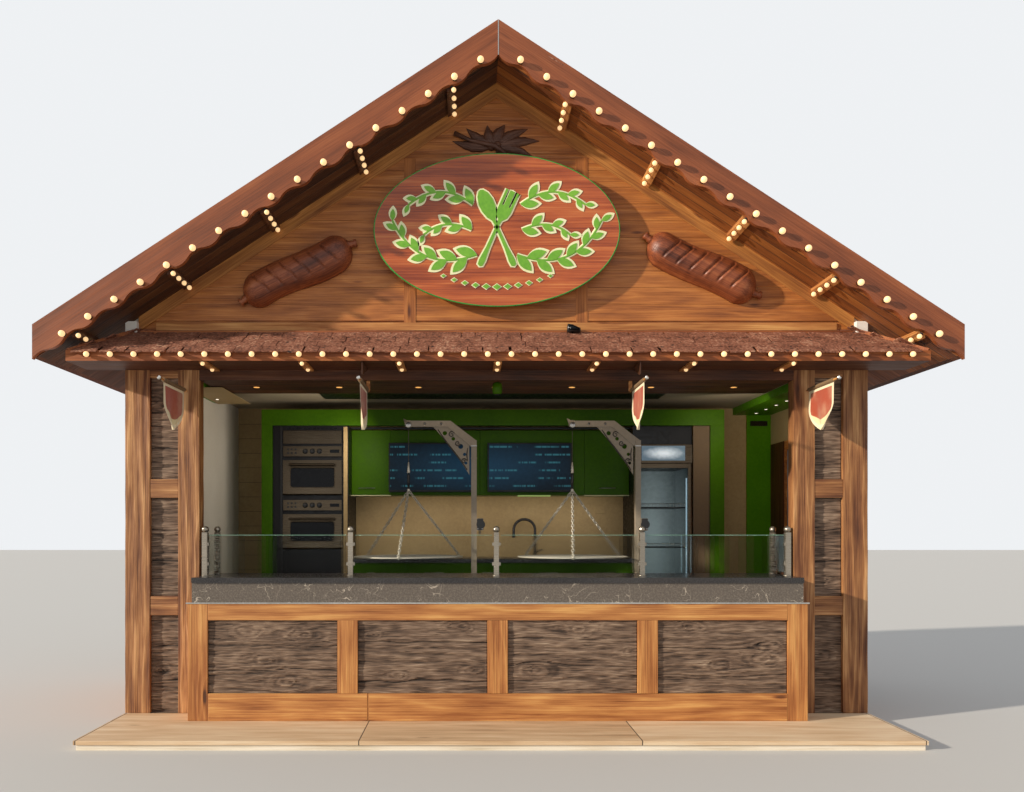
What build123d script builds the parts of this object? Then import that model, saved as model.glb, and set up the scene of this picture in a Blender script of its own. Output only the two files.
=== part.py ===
"""Wooden market hut with a serving counter, in millimetres.

Ground is Z = 0, +Y runs into the hut and +X is to the right of someone at the counter.
"""
import os
from math import cos, radians, sin, tan

from build123d import *

os.makedirs("parts", exist_ok=True)

# The hut's body
hut_width = 6000
body_depth = 2130
platform_depth = 925
platform_height = 70
post_top = 2900
wall = 60
rear_overhang = 200

# Front flanks, from the outside inwards
outer_post = 200
flank_panel = 228
inner_post = 172
post_thickness = 120
flank_rail_thickness = 70
panel_thickness = 25
panel_recess = 40
rail_bottoms = (860, 1810, 2780)
rail_heights = (155, 150, 120)

# Roof
roof_pitch = 33.2
roof_side_overhang = 495
barge_width = 220
barge_thickness = 40
barge_overhang = 450
barge_joint = 2
wave_pitch = 275
wave_rise = 17
roof_cover = 70
rafter_height = 120
rafter_width = 70
rafter_count = 4
soffit_board = 20
eave_board = 30
eave_beam_inset = 50
gable_set_back = 20
gable_wall = 60
eave_beam_rise = 175
eave_beam_height = 121.8
rake_trim = 100
batten_width = 95
batten_places = (-700, 690)
base_board = 70

# Canopy roof over the opening
canopy_side_reach = 300
canopy_overhang = 390
canopy_rise = 255
canopy_fall = 235
canopy_shell = 45
canopy_board = 25
fascia_height = 80
canopy_ceiling = 15

# Head of the opening and ceiling
lintel_height = 140
lintel_thickness = 120
soffit_box_depth = 690
ceiling_drop = 80
ceiling_board = 20
side_box_height = 70
right_box_inner = 2540
left_box_inner = 2440
left_box_end = 1200
lining_face = 2630
lining_board = 40

# Platform and floor
deck_board = 30
bearer_width = 45
bearer_set_in = 15
bearer_count = 7
floor_set_in = 25

# Counter
counter_overhang = 294
counter_frame_top = 980
frame_thickness = 45
top_rail = 130
bottom_rail = 213
end_stile = 155
mid_stile = 158
panel_count = 4
counter_panel = 20
counter_panel_recess = 22
stone_height = 200
stone_thickness = 30
stone_set_back = 10
stone_inset = 30
slab_thickness = 40
slab_lip = 15
slab_inner_edge = 430
counter_back_panel = 20
counter_back_inset = 20

# Glass guard on the counter
guard_post = 40
guard_post_height = 350
guard_ball = 54
guard_ball_sink = 3
guard_glass = 8
guard_glass_top = 330
guard_glass_foot = 25
guard_bays = 4
guard_depth = 20
guard_return = 350
clamp_size = 26
clamp_reach = 14
clamp_heights = (95, 255)

# Pennants
rod_diameter = 16
rod_length = 600
rod_ball = 30
rod_drop = 85
pennant_places = (-2510, -1040, 1090, 2510)
pennant_drop = 340
pennant_length = 470
pennant_start = 90
pennant_thickness = 3
pennant_side = 210
pennant_bulge = (141, 75)
strap_width = 30
strap_thickness = 6
strap_depth = 45

# Sign and carvings on the gable
sign_half_width = 980
sign_half_height = 610
sign_rise = 781
sign_thickness = 30
sign_stand_off = 80
stud_diameter = 40
stud_places = (-560, 560)
sausage_core = 660
sausage_radius = 146
sausage_bend = 20
sausage_places = ((-1603, 477, 27.5), (1652, 509, -27.5))
tie_radius = 28
tie_length = 40
sprig_place = (-10, 704)
leaf_turns = (8, 32, 95, 150, 172)
leaf_lengths = (350, 300, 230, 280, 340)
leaf_width = 85
sprig_boss = 55
leaf_thickness = 30

# Grill cranes
crane_places = (-175, 1327)
crane_depth = 950
crane_tube = 50
crane_tube_top = 2310
crane_foot = 220
crane_foot_plate = 12
crane_reach = 600
arm_top = 2550
arm_height = 55
arm_width = 30
arm_elbow = 215
gusset_thickness = 10
gusset_drop = 256
gusset_clearance = 7
gusset_reach = 375
gusset_belly = (197, 28)
gusset_holes = ((267, -126, 40), (190, -75, 34), (122, -5, 46), (86, 68, 30), (74, 148, 28))
swivel_gap = 1
winch_height = 1600
winch_size = (60, 90, 110)
crank_shaft = (16, 45)
crank_arm = (90, 18, 8)
crank_grip = (22, 80)
pin_diameter = 30
pin_length = 60
pin_clearance = 0.3
hook_diameter = 26
hook_height = 38
wire_diameter = 6
apex_height = 1915
grate_height = 1305
grate_radius = 500
grate_wire = 12
grate_bars = 15
grate_bar_wire = 6
chain_diameter = 9
chain_count = 3
chain_turn = 24

# Fitted kitchen on the back wall
unit_front = 1470
portal_left = 2247
portal_right = 2275
portal_left_leg = 107
portal_right_leg = 137
portal_top = 2727
portal_band = 156
portal_band_thickness = 60
oven_width = 576
oven_side = 32
oven_gap = 62
oven_front_thickness = 22
oven_cavity_depth = 420
oven_door_thickness = 30
oven_window = (430, 190, 4)
oven_handle = (440, 16, 34, 40)
oven_rows = ((1362, 1704), (1890, 2232))
oven_panel_rows = ((1738, 1846), (2266, 2372), (2389, 2525))
cabinet_front = 1720
cabinet_bottom = 1900
cabinet_top = 2553
cabinet_left = -1400
cabinet_right = 1390
base_top = 1270
worktop = 40
worktop_nose = 20
screen_width = 840
screen_height = 490
screen_thickness = 45
screen_bottom = 1930
screen_places = (-601, 386)
screen_bracket = 60
tap_place = 463
tap_height = 390
tap_reach = 220
tap_diameter = 28
tap_drop = 170
tap_set_back = 110
fridge_left = 1392
fridge_right = 1967
fridge_top = 2390
fridge_wall = 40
fridge_door_top = 2200
fridge_door_thickness = 40
fridge_shelf = 12
fridge_shelves = 4
fridge_plinth = 120
fridge_stile = 45
fridge_pane = 8
fridge_handle = (26, 620, 22, 16)

# Service door in the right-hand wall
door_front = 880
door_width = 800
door_top = 2350
door_leaf = 40
door_gap = 6
door_stop = 20
door_handle = (70, 1120, 20, 45, 120)
door_plate = (40, 220, 4)
door_knuckle = (16, 90, 0.5)
door_hinge_strap = (3, 70)
door_hinge_heights = (350, 1210, 2070)
seat_gap = 0.3

# Worked out from the sizes above
half_width = hut_width / 2
roof_half_span = half_width + roof_side_overhang
canopy_half_length = half_width + canopy_side_reach
front_y = platform_depth - (platform_depth + body_depth + rear_overhang) / 2
opening_half = half_width - outer_post - flank_panel - inner_post
inner_wall = half_width - wall
wall_back = body_depth - wall
gable_half_width = inner_wall - eave_beam_inset
slope = tan(radians(roof_pitch))
steep = cos(radians(roof_pitch))
roof_build_up = roof_cover + rafter_height + soffit_board
eave_beam_bottom = post_top + eave_beam_rise
ridge_height = eave_beam_bottom + eave_beam_height + roof_build_up / steep + slope * half_width
canopy_top = post_top + canopy_rise
canopy_eave = canopy_top - canopy_fall
lintel_bottom = post_top - lintel_height
ceiling_bottom = post_top - ceiling_drop
side_box_bottom = ceiling_bottom - side_box_height
rod_height = lintel_bottom - rod_drop
sign_centre = (0, canopy_top + sign_rise)
roof_front = -barge_overhang + barge_thickness
roof_back = body_depth + rear_overhang - barge_thickness
counter_top = counter_frame_top + stone_height
panel_face = panel_recess + panel_thickness


def y_at(depth):
    """Y of a plane that lies this far behind the front face of the posts."""
    return front_y + depth


def roof_z(x, below):
    """Height of the plane that lies this far, square to the slope, under the roof's top."""
    return ridge_height - below / steep - slope * abs(x)


def beam(x, depth, z):
    """Add one straight board or block, given its low and high X, depth and Z."""
    centre = ((x[0] + x[1]) / 2, y_at((depth[0] + depth[1]) / 2), (z[0] + z[1]) / 2)
    with Locations(centre):
        Box(x[1] - x[0], depth[1] - depth[0], z[1] - z[0])


def front_plate(points, depth, thickness):
    """Add a flat plate that faces the front, from its outline in X and Z."""
    with BuildSketch(Plane.XZ.offset(-y_at(depth))) as outline:
        Polygon(*points, align=None)
    extrude(outline.sketch, amount=-thickness)


def side_bar(centre, diameter, depth):
    """Add a round bar that runs from front to back."""
    with BuildSketch(Plane.XZ.offset(-y_at(depth[0]))) as section:
        with Locations(centre):
            Circle(diameter / 2)
    extrude(section.sketch, amount=depth[0] - depth[1])


def upright(place, diameter, z):
    """Add an upright round bar at an X and a depth."""
    with BuildSketch(Plane.XY.offset(z[0])) as section:
        with Locations((place[0], y_at(place[1]))):
            Circle(diameter / 2)
    extrude(section.sketch, amount=z[1] - z[0])


def finish(piece, name):
    """Name a finished piece and write it."""
    piece.part.label = name
    export_step(piece.part, f"parts/{name}.step")


# Base floor, and the platform that customers stand on
with BuildPart() as floor:
    beam(
        (-half_width + floor_set_in, half_width - floor_set_in),
        (floor_set_in, body_depth - floor_set_in),
        (0, platform_height),
    )
finish(floor, "floor")

with BuildPart() as platform_deck:
    beam(
        (-half_width, half_width),
        (-platform_depth, 0),
        (platform_height - deck_board, platform_height),
    )
finish(platform_deck, "platform_deck")

bearer_half = half_width - bearer_set_in
bearer_height = platform_height - deck_board
bearer_step = (2 * bearer_half - bearer_width) / (bearer_count - 1)
with BuildPart() as platform_bearers:
    beam(
        (-bearer_half, bearer_half),
        (-platform_depth + bearer_set_in, -platform_depth + bearer_set_in + bearer_width),
        (0, bearer_height),
    )
    for number in range(bearer_count):
        x = -bearer_half + number * bearer_step
        beam((x, x + bearer_width), (-platform_depth + bearer_set_in, 0), (0, bearer_height))
finish(platform_bearers, "platform_bearers")

# Front flanks: two posts a side with rails and rough panels between them
flank_inner = opening_half + inner_post
flank_outer = flank_inner + flank_panel


flank_bottoms = (platform_height, *(low + high for low, high in zip(rail_bottoms, rail_heights)))
with BuildPart() as flank_posts:
    for side in (-1, 1):
        for low, high in ((flank_outer, half_width), (opening_half, flank_inner)):
            beam(sorted((side * low, side * high)), (0, post_thickness), (platform_height, post_top))
finish(flank_posts, "flank_posts")

with BuildPart() as flank_rails:
    for side in (-1, 1):
        for bottom, height in zip(rail_bottoms, rail_heights):
            x = sorted((side * flank_inner, side * flank_outer))
            beam(x, (0, flank_rail_thickness), (bottom, bottom + height))
finish(flank_rails, "flank_rails")

with BuildPart() as flank_panels:
    for side in (-1, 1):
        for bottom, top in zip(flank_bottoms, rail_bottoms):
            x = sorted((side * flank_inner, side * flank_outer))
            beam(x, (panel_recess, panel_face), (bottom, top))
finish(flank_panels, "flank_panels")

# Walls of the body
door_back = door_front + door_width


def side_slab(side, depth, z):
    """Add a stretch of side wall."""
    beam(sorted((side * inner_wall, side * half_width)), depth, z)


with BuildPart() as left_wall:
    side_slab(-1, (post_thickness, body_depth), (platform_height, post_top))
    side_slab(-1, (gable_set_back, body_depth), (post_top, eave_beam_bottom))
finish(left_wall, "left_wall")

stop_face = half_width - door_leaf - seat_gap
with BuildPart() as right_wall_front:
    side_slab(1, (post_thickness, door_front), (platform_height, door_top))
    beam((inner_wall, stop_face), (door_front, door_front + door_stop), (platform_height, door_top))
finish(right_wall_front, "right_wall_front")

with BuildPart() as right_wall_rear:
    side_slab(1, (door_back, body_depth), (platform_height, door_top))
    beam((inner_wall, stop_face), (door_back - door_stop, door_back), (platform_height, door_top))
finish(right_wall_rear, "right_wall_rear")

with BuildPart() as right_wall_head:
    side_slab(1, (post_thickness, body_depth), (door_top, post_top))
    side_slab(1, (gable_set_back, body_depth), (post_top, eave_beam_bottom))
finish(right_wall_head, "right_wall_head")

with BuildPart() as side_door:
    beam(
        (half_width - door_leaf, half_width),
        (door_front + door_gap, door_back - door_gap),
        (platform_height + door_gap, door_top - door_gap),
    )
    set_in, handle_z, bar, reach, length = door_handle
    plate_width, plate_height, plate_thickness = door_plate
    handle_depth = door_front + door_gap + set_in
    beam(
        (half_width, half_width + plate_thickness),
        (handle_depth - plate_width / 2, handle_depth + plate_width / 2),
        (handle_z - plate_height / 2, handle_z + plate_height / 2),
    )
    beam(
        (half_width, half_width + reach),
        (handle_depth - bar / 2, handle_depth + bar / 2),
        (handle_z - bar / 2, handle_z + bar / 2),
    )
    beam(
        (half_width + reach - bar, half_width + reach),
        (handle_depth - bar / 2, handle_depth + length),
        (handle_z - bar / 2, handle_z + bar / 2),
    )
    knuckle, knuckle_height, knuckle_clearance = door_knuckle
    strap_thickness, strap_length = door_hinge_strap
    hinge_x = half_width + knuckle_clearance + knuckle / 2
    hinge_depth = door_back - door_gap
    for z in door_hinge_heights:
        height = (z - knuckle_height / 2, z + knuckle_height / 2)
        upright((hinge_x, hinge_depth), knuckle, height)
        beam((half_width, half_width + strap_thickness), (hinge_depth - strap_length, hinge_depth), height)
finish(side_door, "side_door")

with BuildPart() as eave_beams:
    for side in (-1, 1):
        front_plate(
            [
                (side * gable_half_width, eave_beam_bottom),
                (side * half_width, eave_beam_bottom),
                (side * half_width, roof_z(half_width, roof_build_up)),
                (side * gable_half_width, roof_z(gable_half_width, roof_build_up)),
            ],
            gable_set_back,
            body_depth - gable_set_back,
        )
finish(eave_beams, "eave_beams")

# Gables under the roof
gable_outline = [
    (-gable_half_width, post_top),
    (gable_half_width, post_top),
    (gable_half_width, roof_z(gable_half_width, roof_build_up)),
    (0, roof_z(0, roof_build_up)),
    (-gable_half_width, roof_z(gable_half_width, roof_build_up)),
]
with BuildPart() as front_gable:
    front_plate(gable_outline, gable_set_back, gable_wall)
finish(front_gable, "front_gable")

with BuildPart() as back_wall:
    beam((-inner_wall, inner_wall), (wall_back, body_depth), (platform_height, post_top))
    front_plate(gable_outline, wall_back, wall)
finish(back_wall, "back_wall")

# Trim on the front gable: rake boards, two battens and a base board
rake_foot = canopy_top + base_board
rake_low = roof_build_up + rake_trim
with BuildPart() as gable_trim:
    with BuildSketch(Plane.XZ.offset(-y_at(0))) as trim:
        Polygon(*gable_outline, align=None)
        with BuildLine() as field:
            field_half = (roof_z(0, rake_low) - rake_foot) / slope
            Polyline((-field_half, rake_foot), (field_half, rake_foot), (0, roof_z(0, rake_low)), close=True)
        make_face(mode=Mode.SUBTRACT)
        with Locations((0, post_top)):
            Rectangle(
                2 * half_width,
                2 * (canopy_top - post_top),
                mode=Mode.SUBTRACT,
            )
    extrude(amount=-gable_set_back)
    for place in batten_places:
        top = roof_z(abs(place), rake_low - rake_trim / 2)
        beam(
            (place - batten_width / 2, place + batten_width / 2),
            (0, gable_set_back),
            (rake_foot, top),
        )
finish(gable_trim, "gable_trim")


# Roof slopes: covering boards on rafters, with a plank soffit under them
def roof_slab(side, top, bottom, depth):
    """Add one layer of a roof slope between two distances under the roof's top."""
    front_plate(
        [
            (0, roof_z(0, top)),
            (side * roof_half_span, roof_z(roof_half_span, top)),
            (side * roof_half_span, roof_z(roof_half_span, bottom)),
            (0, roof_z(0, bottom)),
        ],
        depth[0],
        depth[1] - depth[0],
    )


def make_roof(side):
    """The covering of one slope."""
    with BuildPart() as roof:
        roof_slab(side, 0, roof_cover, (roof_front, roof_back))
    return roof


def make_soffit(side):
    """The planks under one slope."""
    with BuildPart() as soffit:
        roof_slab(side, roof_cover + rafter_height, roof_build_up, (roof_front, roof_back))
    return soffit


for side, word in ((-1, "left"), (1, "right")):
    finish(make_roof(side), f"{word}_roof")
    finish(make_soffit(side), f"{word}_soffit")

rafter_step = (roof_back - roof_front - rafter_width) / (rafter_count - 1)
with BuildPart() as rafters:
    for number in range(rafter_count):
        start = roof_front + number * rafter_step
        for side in (-1, 1):
            roof_slab(side, roof_cover, roof_cover + rafter_height, (start, start + rafter_width))
finish(rafters, "rafters")

# Boards that close the eaves between the rafters' ends
with BuildPart() as eave_boards:
    for side in (-1, 1):
        front_plate(
            [
                (side * roof_half_span, roof_z(roof_half_span, 0)),
                (side * (roof_half_span + eave_board), roof_z(roof_half_span + eave_board, 0)),
                (
                    side * (roof_half_span + eave_board),
                    roof_z(roof_half_span + eave_board, roof_build_up),
                ),
                (side * roof_half_span, roof_z(roof_half_span, roof_build_up)),
            ],
            roof_front,
            roof_back - roof_front,
        )
finish(eave_boards, "eave_boards")


def make_barge(side, depth):
    """A barge board with a waved lower edge, cut upright at the ridge and at the eave."""
    length = (roof_half_span + eave_board) / steep
    lead = barge_width * slope
    count = round(length / wave_pitch)
    step = length / count
    rake = Plane(
        origin=(0, y_at(depth), ridge_height),
        x_dir=(steep, 0, -sin(radians(roof_pitch))),
        z_dir=(0, -1, 0),
    )
    with BuildPart() as barge:
        with BuildSketch(rake):
            with BuildLine():
                Polyline((lead, -barge_width), (0, 0), (length, 0), (length + lead, -barge_width))
                for number in range(count):
                    start = lead + number * step
                    for shift, bulge in ((0, wave_rise), (step / 2, -wave_rise)):
                        ThreePointArc(
                            (start + shift, -barge_width),
                            (start + shift + step / 4, -barge_width - bulge),
                            (start + shift + step / 2, -barge_width),
                        )
            make_face()
        extrude(amount=-barge_thickness)
        split(bisect_by=Plane.YZ.offset(barge_joint / 2), keep=Keep.TOP)
        if side < 0:
            mirror(about=Plane.YZ, mode=Mode.REPLACE)
    return barge


for side, word in ((-1, "left"), (1, "right")):
    finish(make_barge(side, -barge_overhang), f"{word}_barge")

with BuildPart() as back_barges:
    add(make_barge(-1, roof_back).part)
    add(make_barge(1, roof_back).part)
finish(back_barges, "back_barges")

# Canopy over the opening: a hipped shell, boards round its edge and a flat ceiling
hip_half_length = canopy_half_length - canopy_overhang


def hipped_block(inset, drop):
    """Add a block with sloped front and ends, smaller by an inset and lowered by a drop."""
    low_half = canopy_half_length - inset
    high_half = hip_half_length - inset
    with BuildSketch(Plane.XY.offset(canopy_eave - drop)) as low:
        with Locations((0, y_at(-canopy_overhang / 2))):
            Rectangle(2 * low_half, canopy_overhang - 2 * inset)
    with BuildSketch(Plane.XY.offset(canopy_top - drop)) as high:
        with Locations((0, y_at(-inset - canopy_board / 2))):
            Rectangle(2 * high_half, canopy_board)
    return loft([low.sketch.face(), high.sketch.face()], mode=Mode.PRIVATE)


canopy_outer = hipped_block(0, 0)
canopy_inner = hipped_block(canopy_board, canopy_shell)
with BuildPart() as canopy_roof:
    add(canopy_outer)
    add(canopy_inner, mode=Mode.SUBTRACT)
finish(canopy_roof, "canopy_roof")

fascia_bottom = canopy_eave - fascia_height
with BuildPart() as canopy_frame:
    with BuildSketch(Plane.XY.offset(fascia_bottom)):
        with Locations((0, y_at(-canopy_overhang / 2))):
            Rectangle(2 * canopy_half_length, canopy_overhang)
            Rectangle(
                2 * (canopy_half_length - canopy_board),
                canopy_overhang - 2 * canopy_board,
                mode=Mode.SUBTRACT,
            )
    extrude(amount=fascia_height)
    beam(
        (-canopy_half_length + canopy_board, canopy_half_length - canopy_board),
        (-canopy_overhang + canopy_board, -canopy_board),
        (fascia_bottom, fascia_bottom + canopy_ceiling),
    )
finish(canopy_frame, "canopy_frame")

# Head of the opening and the ceiling behind it
with BuildPart() as lintel:
    beam((-opening_half, opening_half), (0, lintel_thickness), (lintel_bottom, post_top))
    beam(
        (-opening_half, opening_half),
        (lintel_thickness, soffit_box_depth),
        (lintel_bottom, ceiling_bottom),
    )
finish(lintel, "lintel")

with BuildPart() as ceiling:
    beam(
        (-inner_wall, inner_wall),
        (post_thickness, wall_back),
        (ceiling_bottom, ceiling_bottom + ceiling_board),
    )
finish(ceiling, "ceiling")

with BuildPart() as ceiling_boxes:
    beam(
        (right_box_inner, inner_wall),
        (post_thickness, wall_back),
        (side_box_bottom, ceiling_bottom),
    )
    beam(
        (-lining_face, -left_box_inner),
        (post_thickness, left_box_end),
        (side_box_bottom, ceiling_bottom),
    )
finish(ceiling_boxes, "ceiling_boxes")

with BuildPart() as left_lining:
    beam(
        (-lining_face - lining_board, -lining_face),
        (post_thickness, wall_back),
        (platform_height, ceiling_bottom),
    )
finish(left_lining, "left_lining")

# Counter: wood frame with rough panels, a stone face and a stone top
frame_front = -counter_overhang
frame_back = frame_front + frame_thickness
stile_gap = (2 * opening_half - 2 * end_stile - (panel_count - 1) * mid_stile) / panel_count
rail_low = platform_height + bottom_rail
rail_high = counter_frame_top - top_rail
bay_lefts = [
    -opening_half + end_stile + number * (stile_gap + mid_stile) for number in range(panel_count)
]
with BuildPart() as counter_frame:
    beam((-opening_half, opening_half), (frame_front, frame_back), (platform_height, counter_frame_top))
    for left in bay_lefts:
        centre = (left + stile_gap / 2, y_at((frame_front + frame_back) / 2), (rail_low + rail_high) / 2)
        with Locations(centre):
            Box(stile_gap, 2 * frame_thickness, rail_high - rail_low, mode=Mode.SUBTRACT)
    for side in (-1, 1):
        x = sorted((side * (opening_half - frame_thickness), side * opening_half))
        beam(x, (frame_back, 0), (platform_height, counter_frame_top))
finish(counter_frame, "counter_frame")

with BuildPart() as counter_panels:
    for left in bay_lefts:
        beam(
            (left, left + stile_gap),
            (frame_front + counter_panel_recess, frame_front + counter_panel_recess + counter_panel),
            (rail_low, rail_high),
        )
finish(counter_panels, "counter_panels")

stone_half = opening_half - stone_inset
stone_front = frame_front + stone_set_back
slab_bottom = counter_top - slab_thickness
with BuildPart() as counter_stone:
    beam(
        (-stone_half, stone_half),
        (stone_front, stone_front + stone_thickness),
        (counter_frame_top, slab_bottom),
    )
    for side in (-1, 1):
        x = sorted((side * (stone_half - stone_thickness), side * stone_half))
        beam(x, (stone_front, 0), (counter_frame_top, slab_bottom))
finish(counter_stone, "counter_stone")

with BuildPart() as counter_slab:
    beam(
        (-stone_half, stone_half),
        (stone_front - slab_lip, slab_inner_edge),
        (slab_bottom, counter_top),
    )
finish(counter_slab, "counter_slab")

with BuildPart() as counter_back:
    beam(
        (-stone_half, stone_half),
        (slab_inner_edge - counter_back_inset - counter_back_panel, slab_inner_edge - counter_back_inset),
        (platform_height, slab_bottom),
    )
finish(counter_back, "counter_back")

# Glass guard: steel posts with ball heads, clamps and panes
guard_half = stone_half + stone_inset - guard_post
guard_step = 2 * guard_half / guard_bays
guard_places = [(-guard_half + number * guard_step, guard_depth) for number in range(guard_bays + 1)]
return_places = [(side * guard_half, guard_depth + guard_return) for side in (-1, 1)]
glass_bottom = counter_top + guard_glass_foot
glass_top = counter_top + guard_glass_top
ball_centre = counter_top + guard_post_height + guard_ball / 2 - guard_ball_sink
with BuildPart() as guard_posts:
    for x, depth in guard_places + return_places:
        with Locations((x, y_at(depth), counter_top + guard_post_height / 2)):
            Box(guard_post, guard_post, guard_post_height)
        with Locations((x, y_at(depth), ball_centre)):
            Sphere(guard_ball / 2)
    for height in clamp_heights:
        for number in range(guard_bays):
            for x, way in ((guard_places[number][0], 1), (guard_places[number + 1][0], -1)):
                ends = sorted((x + way * guard_post / 2, x + way * (guard_post / 2 + clamp_reach)))
                beam(
                    ends,
                    (guard_depth - clamp_size / 2, guard_depth + clamp_size / 2),
                    (counter_top + height - clamp_size / 2, counter_top + height + clamp_size / 2),
                )
        for side in (-1, 1):
            x = side * guard_half
            for depth, way in ((guard_depth, 1), (guard_depth + guard_return, -1)):
                ends = sorted(
                    (depth + way * guard_post / 2, depth + way * (guard_post / 2 + clamp_reach))
                )
                beam(
                    (x - clamp_size / 2, x + clamp_size / 2),
                    ends,
                    (counter_top + height - clamp_size / 2, counter_top + height + clamp_size / 2),
                )
finish(guard_posts, "guard_posts")

glass_end = guard_post / 2 + clamp_reach
with BuildPart() as guard_glass_panes:
    for number in range(guard_bays):
        beam(
            (guard_places[number][0] + glass_end, guard_places[number + 1][0] - glass_end),
            (guard_depth - guard_glass / 2, guard_depth + guard_glass / 2),
            (glass_bottom, glass_top),
        )
    for side in (-1, 1):
        x = side * guard_half
        beam(
            (x - guard_glass / 2, x + guard_glass / 2),
            (guard_depth + glass_end, guard_depth + guard_return - glass_end),
            (glass_bottom, glass_top),
        )
finish(guard_glass_panes, "guard_glass")

# Pennants on rods that point at the customers
with BuildPart() as pennant_rods:
    for place in pennant_places:
        on_post = abs(place) > opening_half
        side_bar((place, rod_height), rod_diameter, (-rod_length, 0 if on_post else strap_depth))
        with Locations((place, y_at(-rod_length), rod_height)):
            Sphere(rod_ball / 2)
        if not on_post:
            beam(
                (place - strap_width / 2, place + strap_width / 2),
                (strap_depth - strap_thickness, strap_depth),
                (rod_height, lintel_bottom),
            )
finish(pennant_rods, "pennant_rods")

pennant_top = rod_height - rod_diameter / 2
with BuildPart() as pennants:
    for place in pennant_places:
        with BuildSketch(Plane.YZ.offset(place - pennant_thickness / 2)) as outline:
            with BuildLine():
                near = y_at(-rod_length + pennant_start)
                far = near + pennant_length
                middle = (near + far) / 2
                waist = pennant_top - pennant_side
                tip = pennant_top - pennant_drop
                across, down = pennant_bulge
                Polyline((near, waist), (near, pennant_top), (far, pennant_top), (far, waist))
                ThreePointArc((far, waist), (middle + across, waist - down), (middle, tip))
                ThreePointArc((middle, tip), (middle - across, waist - down), (near, waist))
            make_face()
        extrude(outline.sketch, amount=pennant_thickness)
finish(pennants, "pennants")

# Oval sign board on studs
sign_depth = -sign_stand_off
with BuildPart() as sign_board:
    with BuildSketch(Plane.XZ.offset(-y_at(sign_depth - sign_thickness))):
        with Locations(sign_centre):
            Ellipse(sign_half_width, sign_half_height)
    extrude(amount=-sign_thickness)
    for place in stud_places:
        side_bar((place, sign_centre[1]), stud_diameter, (sign_depth, gable_set_back))
finish(sign_board, "sign_board")


def make_sausage(x, z, tilt):
    """A bent sausage carved in half relief, with a tied end at each side."""
    along = Plane(
        origin=(x, y_at(gable_set_back), z),
        x_dir=(cos(radians(tilt)), 0, sin(radians(tilt))),
        z_dir=(0, -1, 0),
    )
    bend = sausage_bend if tilt < 0 else -sausage_bend
    with BuildPart() as sausage:
        with BuildLine(along) as core:
            half = sausage_core / 2
            ThreePointArc((-half, 0), (-half / 2, bend), (0, 0))
            ThreePointArc((0, 0), (half / 2, -bend), (half, 0))
        with BuildSketch(Plane(core.line @ 0, z_dir=core.line % 0)):
            Circle(sausage_radius)
        sweep()
        for spot in (core.line @ 0, core.line @ 1):
            with Locations(spot):
                Sphere(sausage_radius)
        for spot, way in ((core.line @ 0, core.line % 0 * -1), (core.line @ 1, core.line % 1)):
            with BuildSketch(Plane(spot, z_dir=way)):
                Circle(tie_radius)
            extrude(amount=sausage_radius + tie_length)
        split(bisect_by=Plane.XZ.offset(-y_at(gable_set_back)), keep=Keep.TOP)
    return sausage


# The carvings: two sausages and a leafy sprig over the sign
with BuildPart() as gable_carvings:
    for x, z, tilt in sausage_places:
        add(make_sausage(x, canopy_top + z, tilt).part)
    with BuildSketch(Plane.XZ.offset(-y_at(gable_set_back))):
        with Locations((sprig_place[0], sign_centre[1] + sprig_place[1])):
            for turn, length in zip(leaf_turns, leaf_lengths):
                with Locations(Location((0, 0, 0), (0, 0, turn))):
                    with Locations((length / 2, 0)):
                        Ellipse(length / 2, leaf_width / 2)
            Circle(sprig_boss)
    extrude(amount=leaf_thickness)
finish(gable_carvings, "gable_carvings")

# Grill cranes: a standing tube, a swivel arm with a gusset, a cable and a hung grate
tube_half = crane_tube / 2
with BuildPart() as crane_posts:
    for place in crane_places:
        beam(
            (place - crane_foot / 2, place + crane_foot / 2),
            (crane_depth - crane_foot / 2, crane_depth + crane_foot / 2),
            (platform_height, platform_height + crane_foot_plate),
        )
        beam(
            (place - tube_half, place + tube_half),
            (crane_depth - tube_half, crane_depth + tube_half),
            (platform_height, crane_tube_top),
        )
        upright((place, crane_depth), pin_diameter, (crane_tube_top, crane_tube_top + pin_length))
        box_x, box_y, box_z = winch_size
        beam(
            (place + tube_half, place + tube_half + box_x),
            (crane_depth - box_y / 2, crane_depth + box_y / 2),
            (winch_height - box_z / 2, winch_height + box_z / 2),
        )
        shaft_x = place + tube_half + box_x / 2
        face = crane_depth + box_y / 2
        side_bar((shaft_x, winch_height), crank_shaft[0], (face, face + crank_shaft[1]))
        beam(
            (shaft_x - crank_arm[1] / 2, shaft_x + crank_arm[1] / 2),
            (face + crank_shaft[1] - crank_arm[2], face + crank_shaft[1]),
            (winch_height - crank_arm[0], winch_height + crank_arm[1] / 2),
        )
        side_bar(
            (shaft_x, winch_height - crank_arm[0] + crank_grip[0] / 2),
            crank_grip[0],
            (face + crank_shaft[1] - crank_arm[2], face + crank_shaft[1] + crank_grip[1]),
        )
finish(crane_posts, "crane_posts")

arm_bottom = arm_top - arm_height
sleeve_bottom = crane_tube_top + swivel_gap
gusset_side = tube_half * 2**0.5 + gusset_clearance


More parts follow.
